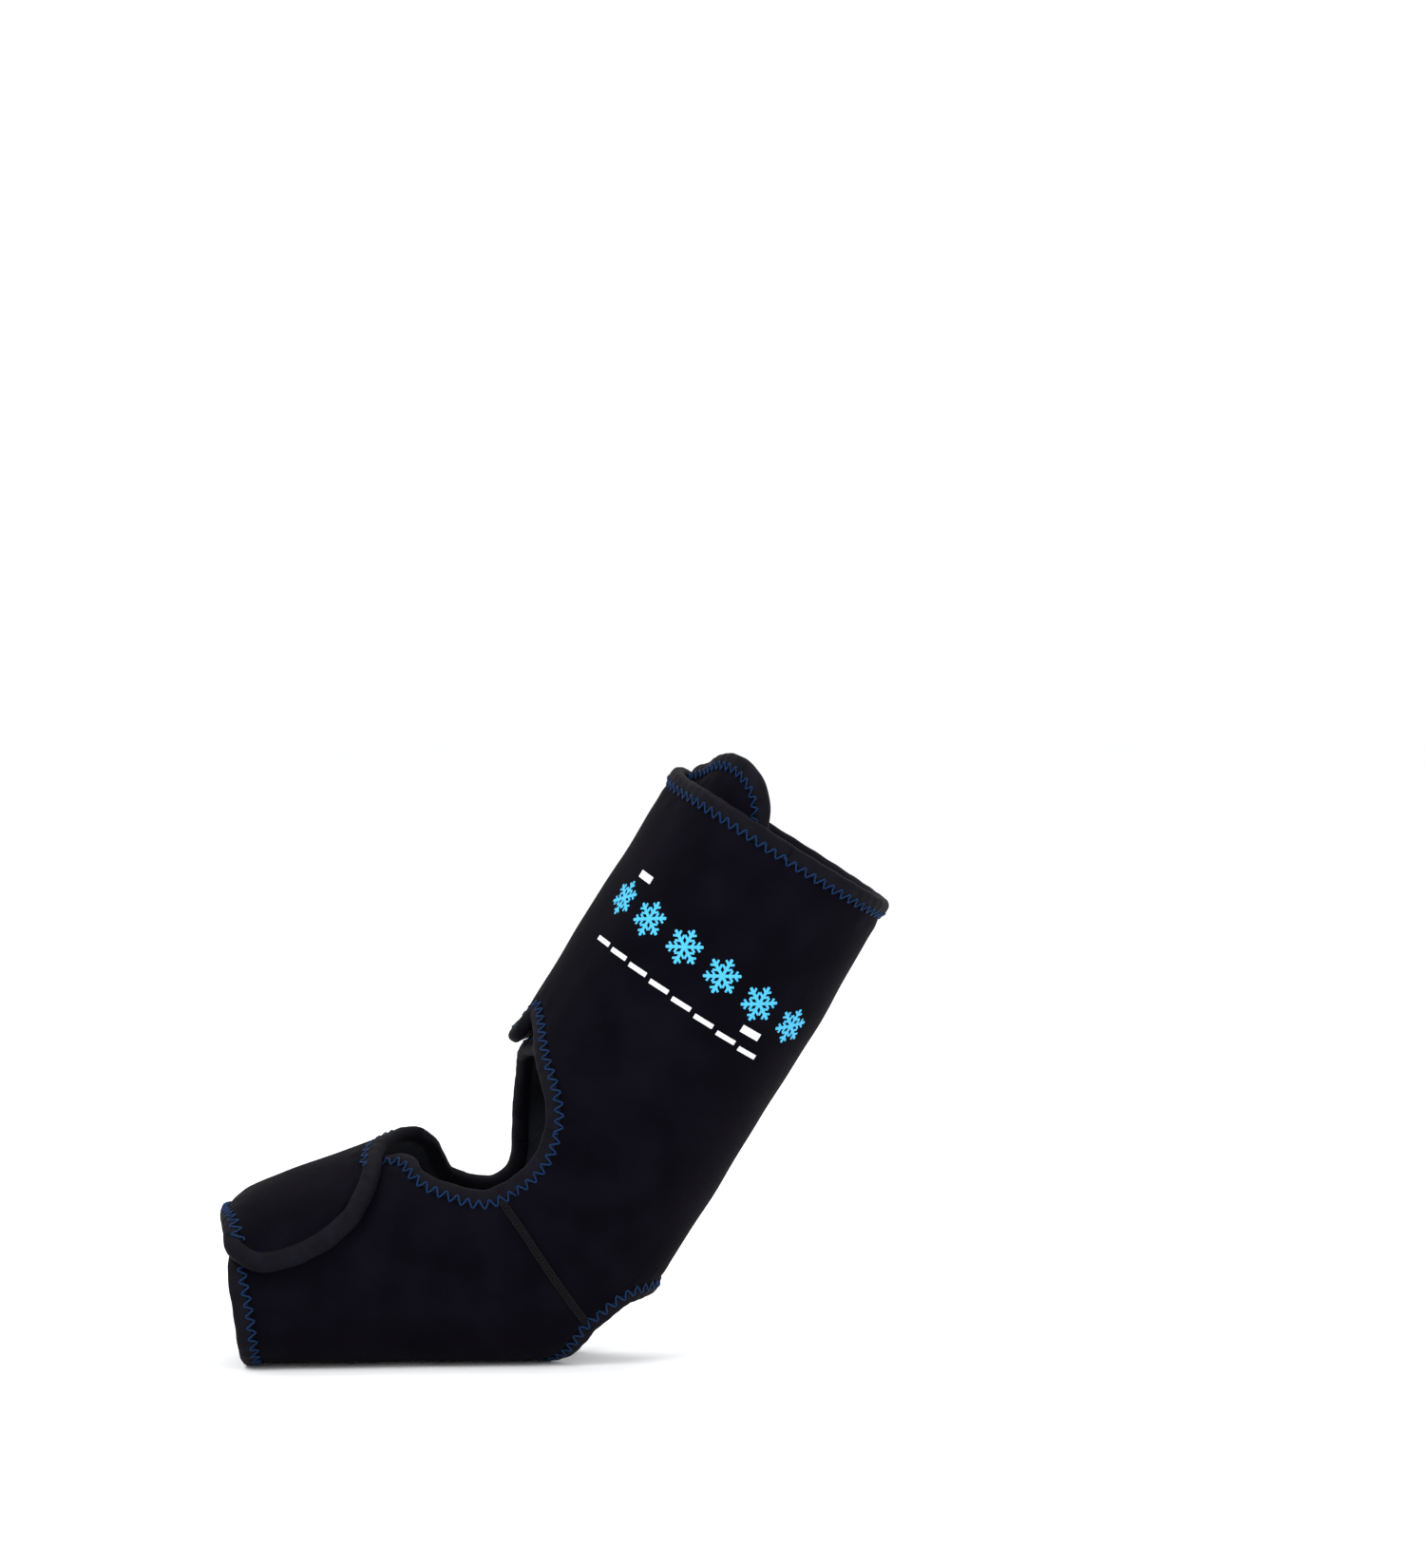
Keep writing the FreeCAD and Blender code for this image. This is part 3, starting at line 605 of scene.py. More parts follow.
def beside(lines, width):
    """Places at sideways distances from the border; width has one row for each sample."""
    k = np.clip(np.searchsorted(WIDTHS, width) - 1, 0, len(WIDTHS) - 2)
    f = ((width - WIDTHS[k]) / (WIDTHS[k + 1] - WIDTHS[k]))[..., None]
    row = np.arange(len(lines)).reshape((-1,) + (1,) * (width.ndim - 1))
    return lines[row, k] + (lines[row, k + 1] - lines[row, k]) * f


# ---- cloth panels ----
def finer(places, count):
    """A line with more places, spread evenly over its length and keeping its corners."""
    return spread(places, travelled(at(base, places)), count)


def smooth_line(places, count=300):
    return finer(dense(places, 12 * len(places)), count)


def grid_of(bottom, top, left, right, columns, rows):
    return coons(finer(bottom, columns), finer(top, columns), finer(left, rows), finer(right, rows))


def leg_grid():
    near = joined(smooth_line(seam_to_fold, 60)[:-1], smooth_line(fold))
    far = past_sole(joined(smooth_line(seam_to_root, 60)[:-1], smooth_line(root)))
    seam = smooth_line(ankle_seam, 90)
    low = joined(seam, smooth_line(heel_high, 120)[1:-1], past_sole(inner_side(seam))[::-1])
    high = smooth_line(line([near[-1], (PANEL_TOP, 120.0), (PANEL_TOP, 180.0), (PANEL_TOP, 240.0),
                             far[-1]], 43))
    return grid_of(low, high, near, far, 230, 170)


def flap_grid():
    return grid_of(smooth_line(flap_low), smooth_line(flap_high), smooth_line(flap_end, 200),
                   smooth_line(fold), 120, 120)


def tab_grid():
    return grid_of(smooth_line(tab_low), smooth_line(tab_high), smooth_line(root),
                   smooth_line(tab_end, 200), 110, 120)


def foot_grid():
    seam = smooth_line(ankle_seam, 90)
    high = joined(seam, smooth_line(heel_low, 120)[1:-1], past_sole(inner_side(seam))[::-1])
    far = past_sole(joined(smooth_line(strap_root, 90)[:-1], smooth_line(opening_inner, 90)))
    return grid_of(smooth_line(toe_edge), high, smooth_line(outer_top), far, 220, 110)


def strap_grid():
    return grid_of(smooth_line(strap_near, 200), smooth_line(strap_root, 200),
                   smooth_line(strap_toe)[::-1], smooth_line(strap_heel), 76, 110)


def patch_grid(s_range, t_range, rows, columns):
    s, t = np.meshgrid(np.linspace(*s_range, rows), np.linspace(*t_range, columns), indexing="ij")
    return np.stack([s, t], -1)


# ---- folds: spans beside where cloth meets the next body, and which body a piece rides on ----
TURN_WIDTH = 15.0  # of the cloth beside a fold, that each span covers


def fold_span(fold_line, towards):
    """Start and end of a blend: the fold, and a little way from it, square to it, in metres."""
    spots = at(base, fold_line)
    along = unit(spots[-1] - spots[0])
    middle = spots[len(spots) // 2]
    aim = base(*towards) - middle
    aim = unit(aim - along * (aim @ along))
    first = ((spots - middle) @ aim).max()
    return (middle + aim * first) * MM, (middle + aim * (first + TURN_WIDTH)) * MM


FOLDS = {"closure_flap": fold_span(fold, fold[7] + [0, -14]),
         "shin_tab": fold_span(root, root[7] + [0, 14]),
         "foot_strap": fold_span(strap_root, (strap_root[4][0], STRAP_ROOT + 16))}


def body_of(part):
    """The body of a flap and its edge has the flap's own name; the rest is the sleeve."""
    return part if part in FOLDS else "sleeve"


def stand_in(piece, node, slot, body="sleeve"):
    """The piece takes a CAD node's place, and rides on a body; a piece on a flap's body is baked
    where it stands.
    """
    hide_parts(node)
    if body in FOLDS:
        start, end = FOLDS[body]
        tuple(start)
        tuple(end)
        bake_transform(piece)
    else:
        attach(piece, body)
    return piece


# ---- bindings, stitches and seams ----
TAPE_STEP, STITCH_STEP, JOIN_STEP = 1.35, 0.45, 0.5  # between samples along an edge
# Section of a folded tape, sideways and up: middle, half size, power that squares its corners.
TAPE_WIDE, TAPE_HIGH = (2.75, 3.35, 0.8), (-1.75, 2.85, 0.75)
TAPE_HALF = 3.0
TAPE_PUFF, TAPE_UNEVEN, TAPE_SWAY = (0.13, PUCKER), (0.07, 17.0), (0.1, 11.0)  # size, wavelength


def circle(count):
    return np.linspace(0, TURN, count + 1)[:-1]


def squared(wave, middle, half, power):
    """A sine or a cosine made into one side of a box with round corners."""
    return middle + half * np.sign(wave) * np.abs(wave) ** power


def run_and_turn(run, turn):
    """Texture places of a tube: the distance along it and the distance round it."""
    return np.stack(np.broadcast_arrays(run[:, None], turn[None]), -1).reshape(-1, 2)


def waves(run, size, length, phase=0.0):
    return size * np.sin(TURN * run / length + phase)


def binding(name, places, lift, closed=False):
    """Tape folded round a raw edge: puffed between the stitches that hold it."""
    lines, run = edge_frame(places, TAPE_STEP)
    turn = circle(18)
    c, n = np.cos(turn), np.sin(turn)
    puff = waves(run, *TAPE_PUFF, math.pi / 2) + waves(run, *TAPE_UNEVEN, 1.0)
    width = squared(c, *TAPE_WIDE) + waves(run, *TAPE_SWAY)[:, None] * np.clip(c, 0, 1)
    up = (lift(lines[:, 1, 1])[:, None] + squared(n, *TAPE_HIGH)
          + puff[:, None] * np.clip(n, 0, 1))
    rings = over(beside(lines, width), up, floor=0.05)
    if closed:
        rings, run = rings[:-1], run[:-1]
    return add_mesh(name, *capped(rings, closed), BINDING, uv=run_and_turn(run, turn * TAPE_HALF))


def capped(rings, ring=False):
    """Points and faces of a tube through rings of points, with capped ends or joined to a ring."""
    rows, columns = rings.shape[:2]
    points = rings.reshape(-1, 3)
    faces = quads(rows, columns, wrap=True, ring=ring)
    turned = 1 if signed_volume(points, faces) > 0 else -1
    caps = [list(range(columns))[::-1], list(range((rows - 1) * columns, rows * columns))]
    return points, [face[::turned] for face in faces.tolist() + ([] if ring else caps)]


def tube(points, radius, up, sides=6, flatten=1.0):
    """Points, faces and texture places of a thread along a line of points."""
    ahead = unit(np.gradient(points, axis=0))
    side = unit(np.cross(ahead, up))
    top = np.cross(side, ahead)
    turn = circle(sides)
    ring = radius * (np.cos(turn)[None, :, None] * side[:, None]
                     + flatten * np.sin(turn)[None, :, None] * top[:, None])
    return *capped(points[:, None] + ring), run_and_turn(travelled(points), turn)


def merged(name, parts, material):
    """One piece from closed bodies: points, faces and, where they have them, texture places."""
    faces, first = [], 0
    for body, sides, *_ in parts:
        faces.extend([[first + k for k in face] for face in sides])
        first += len(body)
    places = [part[2] for part in parts if len(part) > 2]
    return add_mesh(name, np.concatenate([part[0] for part in parts]), faces, material,
                    uv=np.concatenate(places) if places else None)


ZIG_PITCH, ZIG_WIDE = 4.4, 1.6
ZIG_STRAY = (0.13, 23.0)  # how much the pitch strays, and over what length
ZIG_SHARP = 0.9  # 1 would be straight stitches with sharp points
ZIG_CLEAR, ZIG_DIP = 0.32, 0.5
THREAD, THREAD_FLAT = 0.4, 0.75


def surface_height(width):
    """Height of the cloth and of its binding at a sideways distance from the border."""
    return np.where(width < -0.4, 0.0, 1.1 * ease(-0.6, 1.6, width))


def zigzag(places, lift):
    """One run of zigzag stitches over a panel and its binding, dipping in at their points."""
    lines, run = edge_frame(places, STITCH_STEP)
    phase = run / ZIG_PITCH + ZIG_STRAY[0] * np.sin(run / ZIG_STRAY[1])
    swing = np.arcsin(ZIG_SHARP * np.sin(TURN * phase)) / math.asin(ZIG_SHARP)
    width = ZIG_WIDE * swing - 0.05
    spot = beside(lines, width)
    up = (lift(lines[:, 1, 1]) + surface_height(width) + ZIG_CLEAR
          - ZIG_DIP * ease(0.75, 1.0, np.abs(swing)))
    return tube(over(spot, up, floor=THREAD), THREAD, at(normal, spot),
                flatten=THREAD_FLAT)


JOIN_PITCH, JOIN_WIDE, JOIN_THREAD = 3.2, 1.05, 0.34
RIDGE_SIDES, RIDGE_UP, RIDGE_THREAD = (-1.15, 0.0, 1.15), 0.1, 0.42


def ankle_join(name, places):
    """Flat seam between the foot and the leg: a low ridge under crossed dark threads."""
    lines, run = edge_frame(places, JOIN_STEP)
    rows = []
    for start in (0.0, 0.5):
        swing = JOIN_WIDE * np.sin(TURN * (run / JOIN_PITCH + start))
        rise = 0.28 + 0.16 * np.cos(TURN * (run / (JOIN_PITCH / 2) + start))
        rows.append((swing, rise, 0.2, JOIN_THREAD))
    for side in RIDGE_SIDES:
        rows.append((np.full(len(run), side), np.full(len(run), RIDGE_UP), 0.15, RIDGE_THREAD))
    tubes = []
    for width, up, low, radius in rows:
        spot = beside(lines, width)
        tubes.append(tube(over(spot, up, low), radius, at(normal, spot)))
    return merged(name, tubes, DARK_THREAD)


# ---- hook and loop ----
SEED, NUDGE = 7, 0.22  # of the tufts' places, as a share of the space between them
TUFT_REACH, TUFT_RADIUS = 0.7, 0.14
HOOK_TURN, HOOK_FALL = 0.82 * math.pi, 0.45
# Step between tufts and their height, by kind.
HOOKS, LOOPS = (1.9, 0.62), (1.5, 0.5)


def scatter_on(grid, step):
    """Places spread over a patch, every so many millimetres, nudged so that no rows show."""
    rng = np.random.default_rng(SEED)
    p = at(base, grid)
    rows = int(np.linalg.norm(p[-1, 0] - p[0, 0]) / step)
    columns = int(travelled(p[0])[-1] / step)
    low, high = grid[0, 0], grid[-1, -1]
    spots = patch_grid((low[0], high[0]), (low[1], high[1]), rows + 2, columns + 2)
    spots = spots[1:-1, 1:-1].reshape(-1, 2)
    return spots + rng.uniform(-NUDGE, NUDGE, spots.shape) * (high - low) / [rows, columns], rng


def patch_base(grid, low, high):
    """Woven backing of a hook or loop patch, softly quilted."""
    s, t = grid[..., 0], grid[..., 1]
    ripple = 0.06 * np.sin(s * 2.2) * np.sin(np.radians(t) * 75)
    return shell(over(grid, high + ripple), over(grid, np.full(s.shape, low)))[:2]


def arches(spots, rng, foot, high, open_end, facing):
    """Small bent threads standing on a patch: full arches are loops, and open ones are hooks."""
    quarter = math.pi / 2
    angle = np.linspace(0, HOOK_TURN if open_end else math.pi, 6)
    rise = np.sin(angle)
    if open_end:
        rise = np.sin(np.minimum(angle, quarter)) - HOOK_FALL * np.maximum(angle - quarter, 0)
    reach = 0.5 * TUFT_REACH * (1 - np.cos(angle))
    parts = []
    for (s, t), aim in zip(spots, rng.uniform(0, TURN, len(spots))):
        if open_end:
            aim = quarter * round(aim / quarter)
        out = normal(s, t) * facing
        along = unit(slopes(s, t)[0])
        lean = math.cos(aim) * along + math.sin(aim) * np.cross(out, along)
        bow = skin(s, t, foot) + np.outer(reach, lean) + np.outer(high * rise, out)
        parts.append(tube(bow, TUFT_RADIUS, np.cross(lean, out)[None], sides=4)[:2])
    return parts


# ---- print ----
FLAKE_R, FLAKE_UP, FLAKE_FROM, FLAKE_STEP = 7.4, 163.0, 26.0, 23.0
ARM_HALF, ARM_TAPER, TWIG_HALF = 0.6, 0.3, 0.42
TWIGS = ((3.1, 1.75), (5.3, 1.45))  # place on the arm, and length
DASH_UP, DASH_TURN, DASH_HIGH, PRINT_SLOPE = 144.0, 10.8, 1.9, 4.5
DASH_FROM, DASH_STEP = 24.6, 13.8
FRONT_ACCENT, REAR_ACCENT, ACCENT_HIGH = (27.0, 173.0), (117.0, 150.5), 3.0
INK, INK_ROOT = 0.16, -0.1  # its two faces, above and in the cloth


def print_station(up, t):
    return station(up + PRINT_SLOPE * math.cos(math.radians(t)))


def flake():
    """Six arms with two pairs of twigs each, as x, y points and triangles."""
    half, aim = ARM_HALF, np.array([0.86, 0.5])
    levels, arm = [half / math.tan(math.radians(30))], []
    for foot, reach in TWIGS:
        tip = np.array([half, foot]) + reach * aim
        across = TWIG_HALF * np.array([-aim[1], aim[0]])
        levels += [foot - 0.62, foot + 0.42]
        arm.append([(half, levels[-2]), *(tip + [-across, across]).tolist(), (half, levels[-1])])
    arm += [[(-x, y) for x, y in side[::-1]] for side in arm]
    levels.append(FLAKE_R - ARM_TAPER)
    for low, high in zip(levels, levels[1:]):
        arm.append([(half, low), (half, high), (-half, high), (-half, low)])
    arm.append([(half, levels[-1]), (half / 2, FLAKE_R), (-half / 2, FLAKE_R), (-half, levels[-1])])
    arm.append([(half, levels[0]), (-half, levels[0]), (0.0, 0.0)])
    numbers, triangles = {}, []
    for k in range(6):
        c, n = math.cos(math.radians(60 * k)), math.sin(math.radians(60 * k))
        for side in arm:
            spots = [(round(x * c - y * n, 5), round(x * n + y * c, 5)) for x, y in side]
            corners = [numbers.setdefault(spot, len(numbers)) for spot in spots]
            triangles += [(corners[0], far, near) for near, far in zip(corners[1:], corners[2:])]
    return np.array(list(numbers)), triangles


def split(points, triangles):
    """The same flat shape with each triangle cut in four."""
    points, halves, out = [tuple(p) for p in points], {}, []

    def half(a, b):
        key = (min(a, b), max(a, b))
        if key not in halves:
            halves[key] = len(points)
            points.append(tuple((x + y) / 2 for x, y in zip(points[a], points[b])))
        return halves[key]

    for a, b, c in triangles:
        ab, bc, ca = half(a, b), half(b, c), half(c, a)
        out += [(a, ab, ca), (ab, b, bc), (ca, bc, c), (ab, bc, ca)]
    return np.array(points), out


def printed_flakes(name, angles, lift):
    """Snowflakes of ink laid on the cloth."""
    flat_points, fill = split(*split(*flake()))
    fill, count = np.array(fill), len(flat_points)
    edges = np.r_[fill[:, [0, 1]], fill[:, [1, 2]], fill[:, [2, 0]]].tolist()
    known = {tuple(edge) for edge in edges}
    rim = np.array([edge for edge in edges if (edge[1], edge[0]) not in known])
    walls = np.stack([rim[:, 1], rim[:, 0], rim[:, 0] + count, rim[:, 1] + count], -1)
    faces = fill.tolist() + (fill[:, ::-1] + count).tolist() + walls.tolist()
    parts = []
    for middle in angles:
        s, t = on_cloth(flat_points, print_station(FLAKE_UP, middle), middle).T
        ground = wrinkles(s, t) + lift(t)
        sides = [skin(s, t, ground + up) for up in (INK, INK_ROOT)]
        parts.append((np.concatenate(sides), faces))
    return sharpened(merged(name, parts, CYAN))


def printed_dashes(name, bars, lift):
    """Short bars of ink laid on the cloth, by angle, height and thickness."""
    parts = []
    for t, up, high in bars:
        low = print_station(up, t + DASH_TURN / 2)
        grid = patch_grid((low, low + high), (t, t + DASH_TURN), 7, 25)
        ground = at(wrinkles, grid) + lift(grid[..., 1])
        parts.append(shell(over(grid, ground + INK), over(grid, ground + INK_ROOT))[:2])
    return sharpened(merged(name, parts, WHITE))


def on_cloth(outline, s, t):
    """Places of an x, y outline round a place: x runs round the leg and y up it."""
    along, around = slopes(s, t)
    return np.stack([s + outline[:, 1] / np.linalg.norm(along),
                     t - outline[:, 0] / np.linalg.norm(around)], -1)


# ---- cold packs and their pockets ----
POCKET_LOW, POCKET_HIGH = 62.0, RIM - 32
POCKET_FROM, POCKET_TO = 96.0, 162.0
NET, NET_WEAVE, WEAVE_UP, WEAVE_ROUND = 0.7, 0.16, 2.6, 2.1
HEM_DROP, HEM_HALF, HEM_THICK = 3.0, 2.9, 0.7
PACK_THICK, PACK_CLEAR, FILM = 7.0, 2.6, 0.45
PACK_FOOT, PACK_HEAD, PACK_SIDE = 18.0, 10.0, 11.0  # from the pocket's edges
PACK_ROWS, PACK_COLUMNS = 61, 33
PACK_WELDS, WELD_HALF = (1 / 3, 2 / 3), 0.035  # between its chambers
AIR_FRAMES, SLIDE_MOST, CRINKLE = 18, 1.5, 0.22
BLOWN_FILM = {"quality": 6, "mass": 0.12, "tension_stiffness": 12, "compression_stiffness": 12,
              "shear_stiffness": 4, "bending_stiffness": 0.4, "use_pressure": True,
              "uniform_pressure_force": 5.0, "vertex_group_mass": "welded"}


def plateau(low, high, x):
    """Rises from 0 at both ends of 0 to 1, and is 1 between them."""
    return ease(low, high, x) * ease(low, high, 1 - x)


def in_pocket(side, foot, head, inset, rows, columns):
    """Grid inside a pocket, so far from its foot, its mouth and its sides."""
    return patch_grid((POCKET_LOW + foot, POCKET_HIGH - head),
                      (side * (POCKET_FROM + inset), side * (POCKET_TO - inset)), rows, columns)


def pocket_depth(s, t):
    across = (np.abs(t) - POCKET_FROM) / (POCKET_TO - POCKET_FROM)
    along = (s - POCKET_LOW) / (POCKET_HIGH - POCKET_LOW)
    return (PACK_THICK + 2 * PACK_CLEAR) * plateau(0.0, 0.25, across) * ease(0.0, 0.2, along)


def pocket(name, side):
    """Net pocket sewn inside the leg, open at its top."""
    grid = in_pocket(side, 0, 5, 0, 150, 96)
    s, t = grid[..., 0], grid[..., 1]
    strands = np.maximum(np.cos(s * TURN / WEAVE_UP), np.cos(t * TURN / WEAVE_ROUND))
    net = NET_WEAVE * strands
    up = -NEOPRENE - 0.3 - pocket_depth(s, t)
    points, faces, _ = shell(over(grid, up + net), over(grid, up - NET - net))
    uv = np.tile(np.stack([travelled(base(s, t), 1), s], -1).reshape(-1, 2), (2, 1))
    return add_mesh(name, points, faces, MESH_CLOTH, uv=uv)


def pocket_hem(name, side):
    """Rolled tape along the pocket's mouth."""
    t = np.linspace(side * POCKET_FROM, side * POCKET_TO, 110)
    turn = circle(14)
    s = squared(np.cos(turn), POCKET_HIGH - HEM_DROP, HEM_HALF, 0.7)
    s, wide = np.broadcast_arrays(s[None], t[:, None])
    thick = HEM_THICK + 0.1 * np.cos(t * 2.4)[:, None]
    up = -NEOPRENE - 0.95 - pocket_depth(s, wide) + thick * np.sin(turn)[None]
    uv = run_and_turn(travelled(base(s[:, 0], t)), turn * 2)
    return add_mesh(name, *capped(skin(s, wide, up)), BINDING, uv=uv)


def gel_pack(name, side):
    """Sealed pouch in three chambers, blown up from flat film by a cloth simulation."""
    grid = in_pocket(side, PACK_FOOT, PACK_HEAD, PACK_SIDE, PACK_ROWS, PACK_COLUMNS)
    v, u = np.meshgrid(np.linspace(0, 1, PACK_ROWS), np.linspace(0, 1, PACK_COLUMNS), indexing="ij")
    edge = plateau(0.08, 0.3, u) * plateau(0.045, 0.13, v)
    from_weld = np.minimum(*(np.abs(v - weld) for weld in PACK_WELDS))
    loose = edge * (1 - np.exp(-(from_weld / WELD_HALF) ** 2))
    centre, reach = -NEOPRENE - PACK_CLEAR - 0.5 * PACK_THICK, 0.5 * PACK_THICK + 0.4
    middle = centre + 1.6 * (1 - edge)
    thick = FILM + 1.7 * loose
    points, faces, _ = shell(over(grid, middle + thick), over(grid, middle - thick))
    piece = add_mesh(name, points, faces, GEL)
    held = piece.vertex_groups.new(name="welded")
    for i, weight in enumerate(np.tile((1 - ease(0.02, 0.3, loose)).ravel(), 2)):
        if weight > 0:
            held.add([i], float(weight), "REPLACE")
    points = inflated(piece, AIR_FRAMES)
    places = np.tile(grid.reshape(-1, 2), (2, 1))
    ground, out = at(base, places), at(normal, places)
    offset = points - ground
    height = (offset * out).sum(1)
    slide = offset - height[:, None] * out
    slide *= np.minimum(1.0, SLIDE_MOST / np.maximum(np.linalg.norm(slide, axis=1), 1e-6))[:, None]
    height = centre + reach * np.tanh((height - centre) / reach)
    height += CRINKLE * np.exp(-((np.tile(loose.ravel(), 2) - 0.25) / 0.2) ** 2) * np.sin(
        places[:, 0] * 1.1 + places[:, 1] * 1.7)
    points = ground + slide + height[:, None] * out
    piece.data.vertices.foreach_set("co", (points * MM).ravel())
    piece.data.update()
    smooth = piece.modifiers.new("smooth", "SUBSURF")
    smooth.levels = smooth.render_levels = 1
    return piece


def inflated(piece, frames):
    """Points of a closed mesh after a short cloth simulation with air in it, in millimetres."""
    made = piece.modifiers.new("air", "CLOTH")
    for setting, value in BLOWN_FILM.items():
        setattr(made.settings, setting, value)
    made.settings.effector_weights.gravity = 0
    made.collision_settings.use_collision = False
    made.collision_settings.use_self_collision = False
    made.point_cache.frame_start, made.point_cache.frame_end = 1, frames
    scene = bpy.context.scene
    for frame_number in range(1, frames + 1):
        scene.frame_set(frame_number)
    shown = piece.evaluated_get(bpy.context.evaluated_depsgraph_get()).data
    points = np.zeros(len(shown.vertices) * 3, np.float32)
    shown.vertices.foreach_get("co", points)
    piece.modifiers.remove(made)
    scene.frame_set(1)
    return points.reshape(-1, 3).astype(float) / MM


# ---- the pieces ----
def panels():
    """The five panels of cloth; which of their edges are sewn comes as low, high, left, right."""
    rows = [("leg_panel", leg_grid, flat, (1, 1, 0, 0)),
            ("closure_flap", flap_grid, flap_lift, (1, 1, 1, 0)),
            ("shin_tab", tab_grid, tab_lift, (1, 1, 0, 1)),
            ("foot_panel", foot_grid, flat, (1, 1, 1, 0)),
            ("foot_strap", strap_grid, strap_lift, (1, 0, 1, 1))]
    made = {}
    for node, grid, lift, sewn in rows:
        piece = cloth_panel(node.replace("_panel", "") + "_cloth", grid(), lift, sewn)
        made[node] = stand_in(piece, node, "neoprene", body_of(node))
    return made


def edges():
    """Bindings and their stitches, by the name of the edge."""
    rows = [("rim", rim_edge, flat), ("closure_flap", flap_edge, flap_lift),
            ("shin_tab", tab_edge, tab_lift), ("outer_instep", outer_opening, flat),
            ("inner_instep", inner_opening, flat), ("heel_opening", heel_edge, flat),
            ("toe_edge", toe_edge, flat), ("foot_strap", strap_edge, strap_lift)]
    made = {}
    for edge, places, lift in rows:
        tape = binding(edge + "_tape", places, lift, edge == "heel_opening")
        runs = [strap_toe, strap_heel[4:]] if edge == "foot_strap" else [places]
        thread = merged(edge + "_zigzag", [zigzag(run, lift) for run in runs], BLUE_THREAD)
        made[edge] = (stand_in(tape, edge + "_binding", "binding_tape", body_of(edge)),
                      stand_in(thread, edge + "_stitches", "stitch_thread", body_of(edge)))
    return made


def seams():
    for side, places in (("outer", ankle_seam), ("inner", inner_side(ankle_seam)[::-1])):
        join = ankle_join(side + "_ankle_join", places)
        stand_in(join, side + "_ankle_seam", "seam_thread")


CLOSURE_PATCH = ((station(128.0), station(192.0)), (FLAP_END + 1, -26.0))
STRAP_LOOPS, STRAP_HOOKS = ((-60.0, -26.0), (30.0, 66.0)), ((-58.0, -38.0), (38.0, 62.0))


def hook_and_loop():
    """Patches by the area they cover; loops stand out from the wrap, and hooks reach in."""
    rows = [("closure_loop_patch", CLOSURE_PATCH, "shin_tab"),
            ("closure_hook_patch", CLOSURE_PATCH, "closure_flap"),
            ("strap_loop_patch", STRAP_LOOPS, "sleeve"),
            ("strap_hook_patch", STRAP_HOOKS, "foot_strap")]
    for node, area, body in rows:
        hooks = "hook" in node
        low, high = (LAP - 0.8, LAP - 0.05) if hooks else (0.05, 0.75)
        step, tall = HOOKS if hooks else LOOPS
        grid = patch_grid(*area, 60, 40)
        spots, rng = scatter_on(grid, step)
        foot, facing = (low, -1) if hooks else (high, 1)
        parts = [patch_base(grid, low, high)] + arches(spots, rng, foot, tall, hooks, facing)
        piece = merged(node.replace("_patch", "_tape"), parts, HOOK if hooks else LOOP)
        stand_in(piece, node, "hook_tape" if hooks else "loop_tape", body)


def prints():
    """The print, in the part of it on the closure flap and the part on the leg panel."""
    flakes = [FLAKE_FROM + FLAKE_STEP * k for k in range(6)]
    dashes = [(DASH_FROM + DASH_STEP * k, DASH_UP, DASH_HIGH) for k in range(8)]
    dashes = [(*FRONT_ACCENT, ACCENT_HIGH), *dashes, (*REAR_ACCENT, ACCENT_HIGH)]
    for kind, printed, marks, slot in (("snowflakes", printed_flakes, flakes, "cyan_print"),
                                       ("dashes", printed_dashes, dashes, "white_print")):
        half = len(marks) // 2
        for end, some, lift, body in (("front", marks[:half], flap_lift, "closure_flap"),
                                      ("rear", marks[half:], flat, "sleeve")):
            node = end + "_" + kind
            stand_in(printed(node + "_ink", some, lift), node, slot, body)


def cold_packs():
    for side_name, side in (("outer", 1), ("inner", -1)):
        node, pack_node = side_name + "_pocket", side_name + "_gel_pack"
        net = pocket(side_name + "_net_pocket", side)
        stand_in(net, node, "pocket_mesh")
        hem = pocket_hem(node + "_tape", side)
        stand_in(hem, node + "_hem", "binding_tape")
        pack = gel_pack(side_name + "_cold_pack", side)
        stand_in(pack, pack_node, "gel_pack_film", pack_node)


def build():
    cloths, bound = panels(), edges()
    seams()
    hook_and_loop()
    prints()
    cold_packs()


# ---- floor, light and camera ----
FLOOR_R, FLOOR_AT = 9.0, -0.0004
FLOOR_GREYS = [(0.3, (0.93, 0.932, 0.938, 1)), (0.7, (0.94, 0.942, 0.947, 1))]
SKY, SKY_STRENGTH = (0.97, 0.98, 1.0, 1.0), 1.1
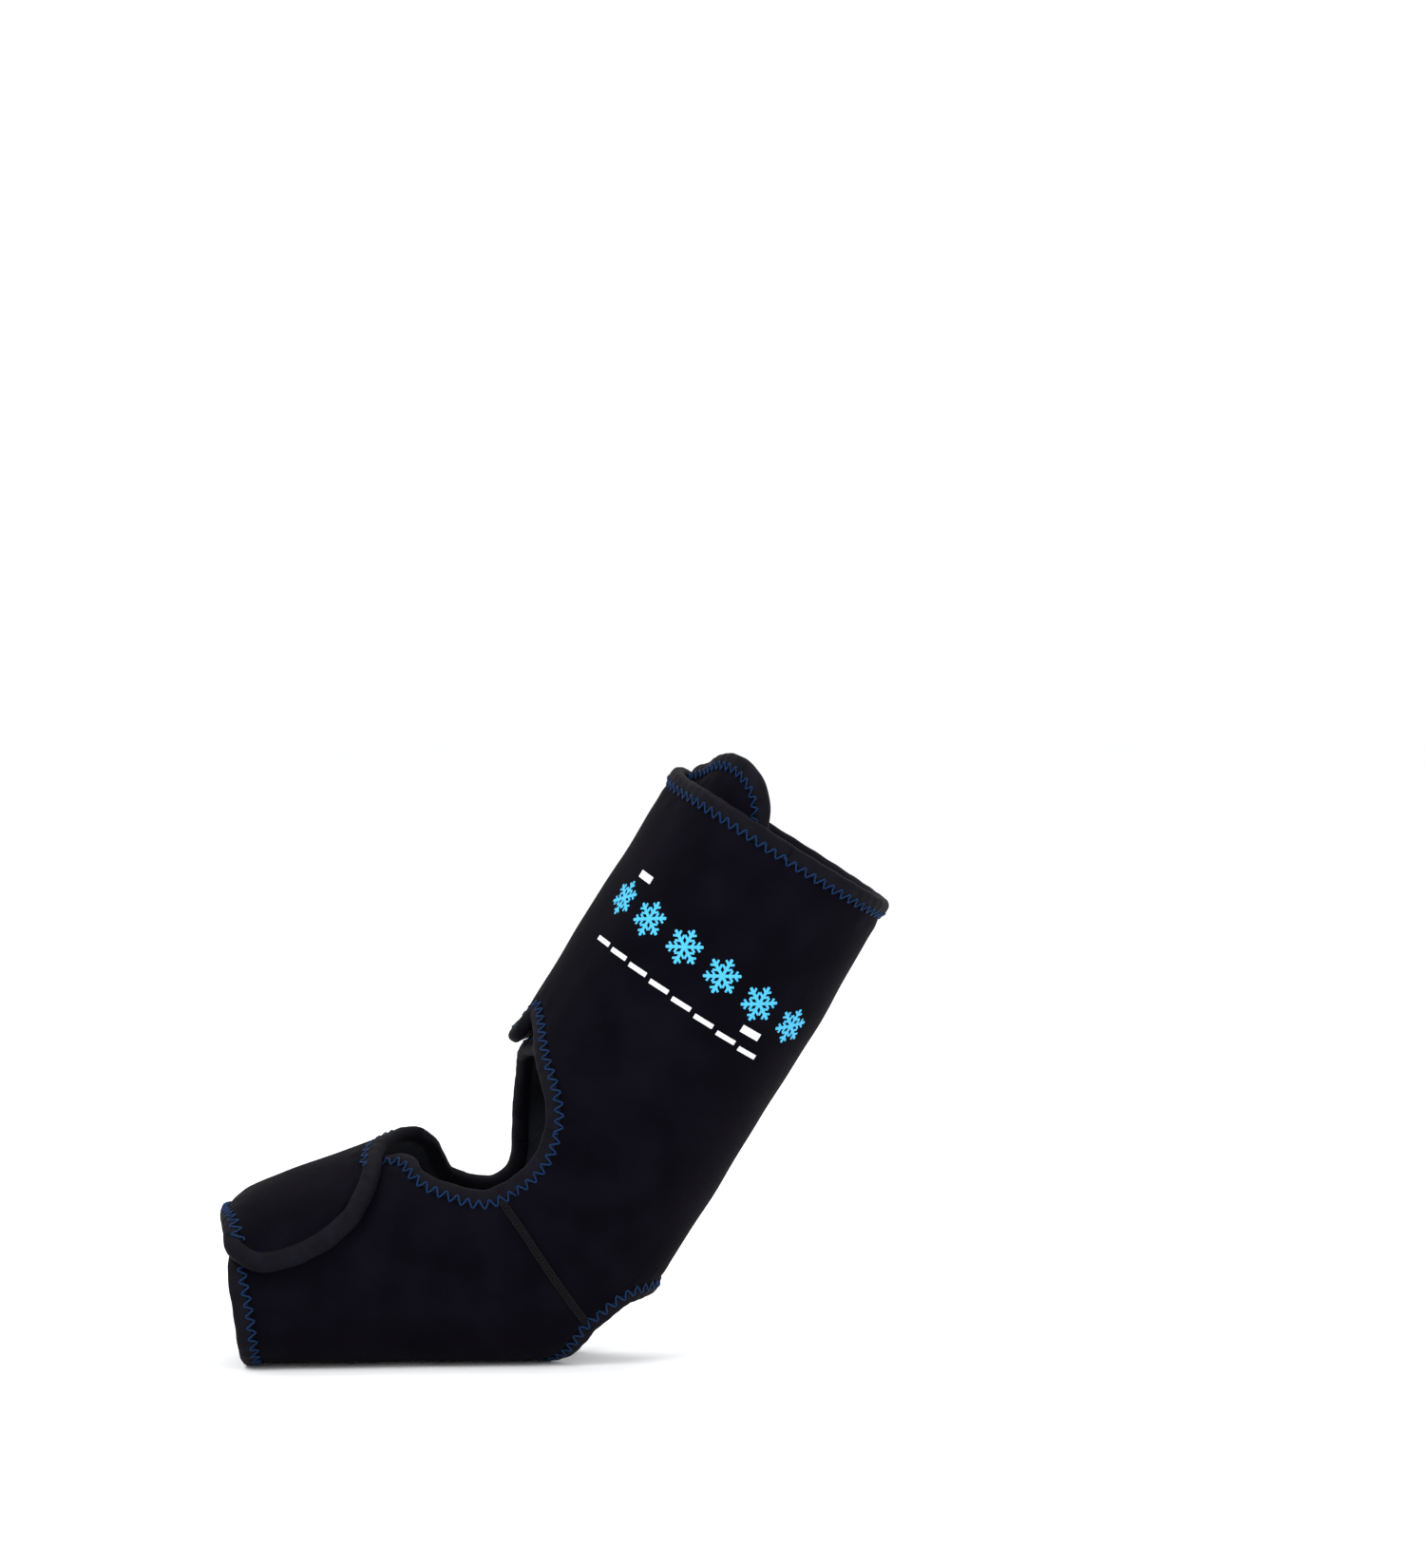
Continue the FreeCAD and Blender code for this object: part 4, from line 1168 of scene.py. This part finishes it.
# Place, size and power of each lamp; all of them face LIT.
LIT = (0.0, 0.0, 0.11)
LAMPS = {"key": ((-0.9, -1.3, 1.5), (0.9, 0.9), 22), "fill": ((1.2, -1.2, 0.7), (1.2, 1.2), 9),
         "top": ((0.1, 0.5, 1.8), (1.4, 1.0), 14)}
CAMERA_AIM, CAMERA_FAR, CAMERA_TILT = (0.0608, -0.02, 0.2235), 2.2, math.radians(2.0)
SENSOR, VIEW_TALL = 36.0, 0.6006  # the view's height is at the aim


def white_floor():
    """Plain white floor, wide enough to fill the view."""
    white = Shader("floor_white", 0.9, Specular_IOR_Level=0.1)
    white.colour(white.pattern(*noise(3.0)), *FLOOR_GREYS)
    bpy.ops.mesh.primitive_circle_add(vertices=96, radius=FLOOR_R, fill_type="NGON",
                                      location=(0, 0, FLOOR_AT))
    ground = bpy.context.object
    ground.name = "studio_floor"
    ground.data.materials.append(white.material)


def turned_to(spot, aim):
    return (Vector(aim) - Vector(spot)).to_track_quat("-Z", "Y").to_euler()


def lights():
    world = bpy.data.worlds.new("studio")
    world.use_nodes = True
    sky = world.node_tree.nodes["Background"].inputs
    sky["Color"].default_value, sky["Strength"].default_value = SKY, SKY_STRENGTH
    bpy.context.scene.world = world
    for name, (spot, size, power) in LAMPS.items():
        light = bpy.data.lights.new(name, "AREA")
        light.shape, light.size, light.size_y, light.energy = "RECTANGLE", *size, power
        lamp = in_scene(name, light)
        lamp.location, lamp.rotation_euler = spot, turned_to(spot, LIT)
    bpy.context.scene.view_settings.view_transform = "Standard"


def camera():
    """Level with the lower leg and a long way off, a little above it, as the wrap was seen."""
    lens = bpy.data.cameras.new("camera")
    lens.sensor_width = SENSOR
    lens.lens = SENSOR * CAMERA_FAR / VIEW_TALL
    eye = in_scene("camera", lens)
    away = Vector((0.0, -math.cos(CAMERA_TILT), math.sin(CAMERA_TILT)))
    eye.location = Vector(CAMERA_AIM) + CAMERA_FAR * away
    eye.rotation_euler = turned_to(eye.location, CAMERA_AIM)
    bpy.context.scene.camera = eye


build()
white_floor()
lights()
camera()
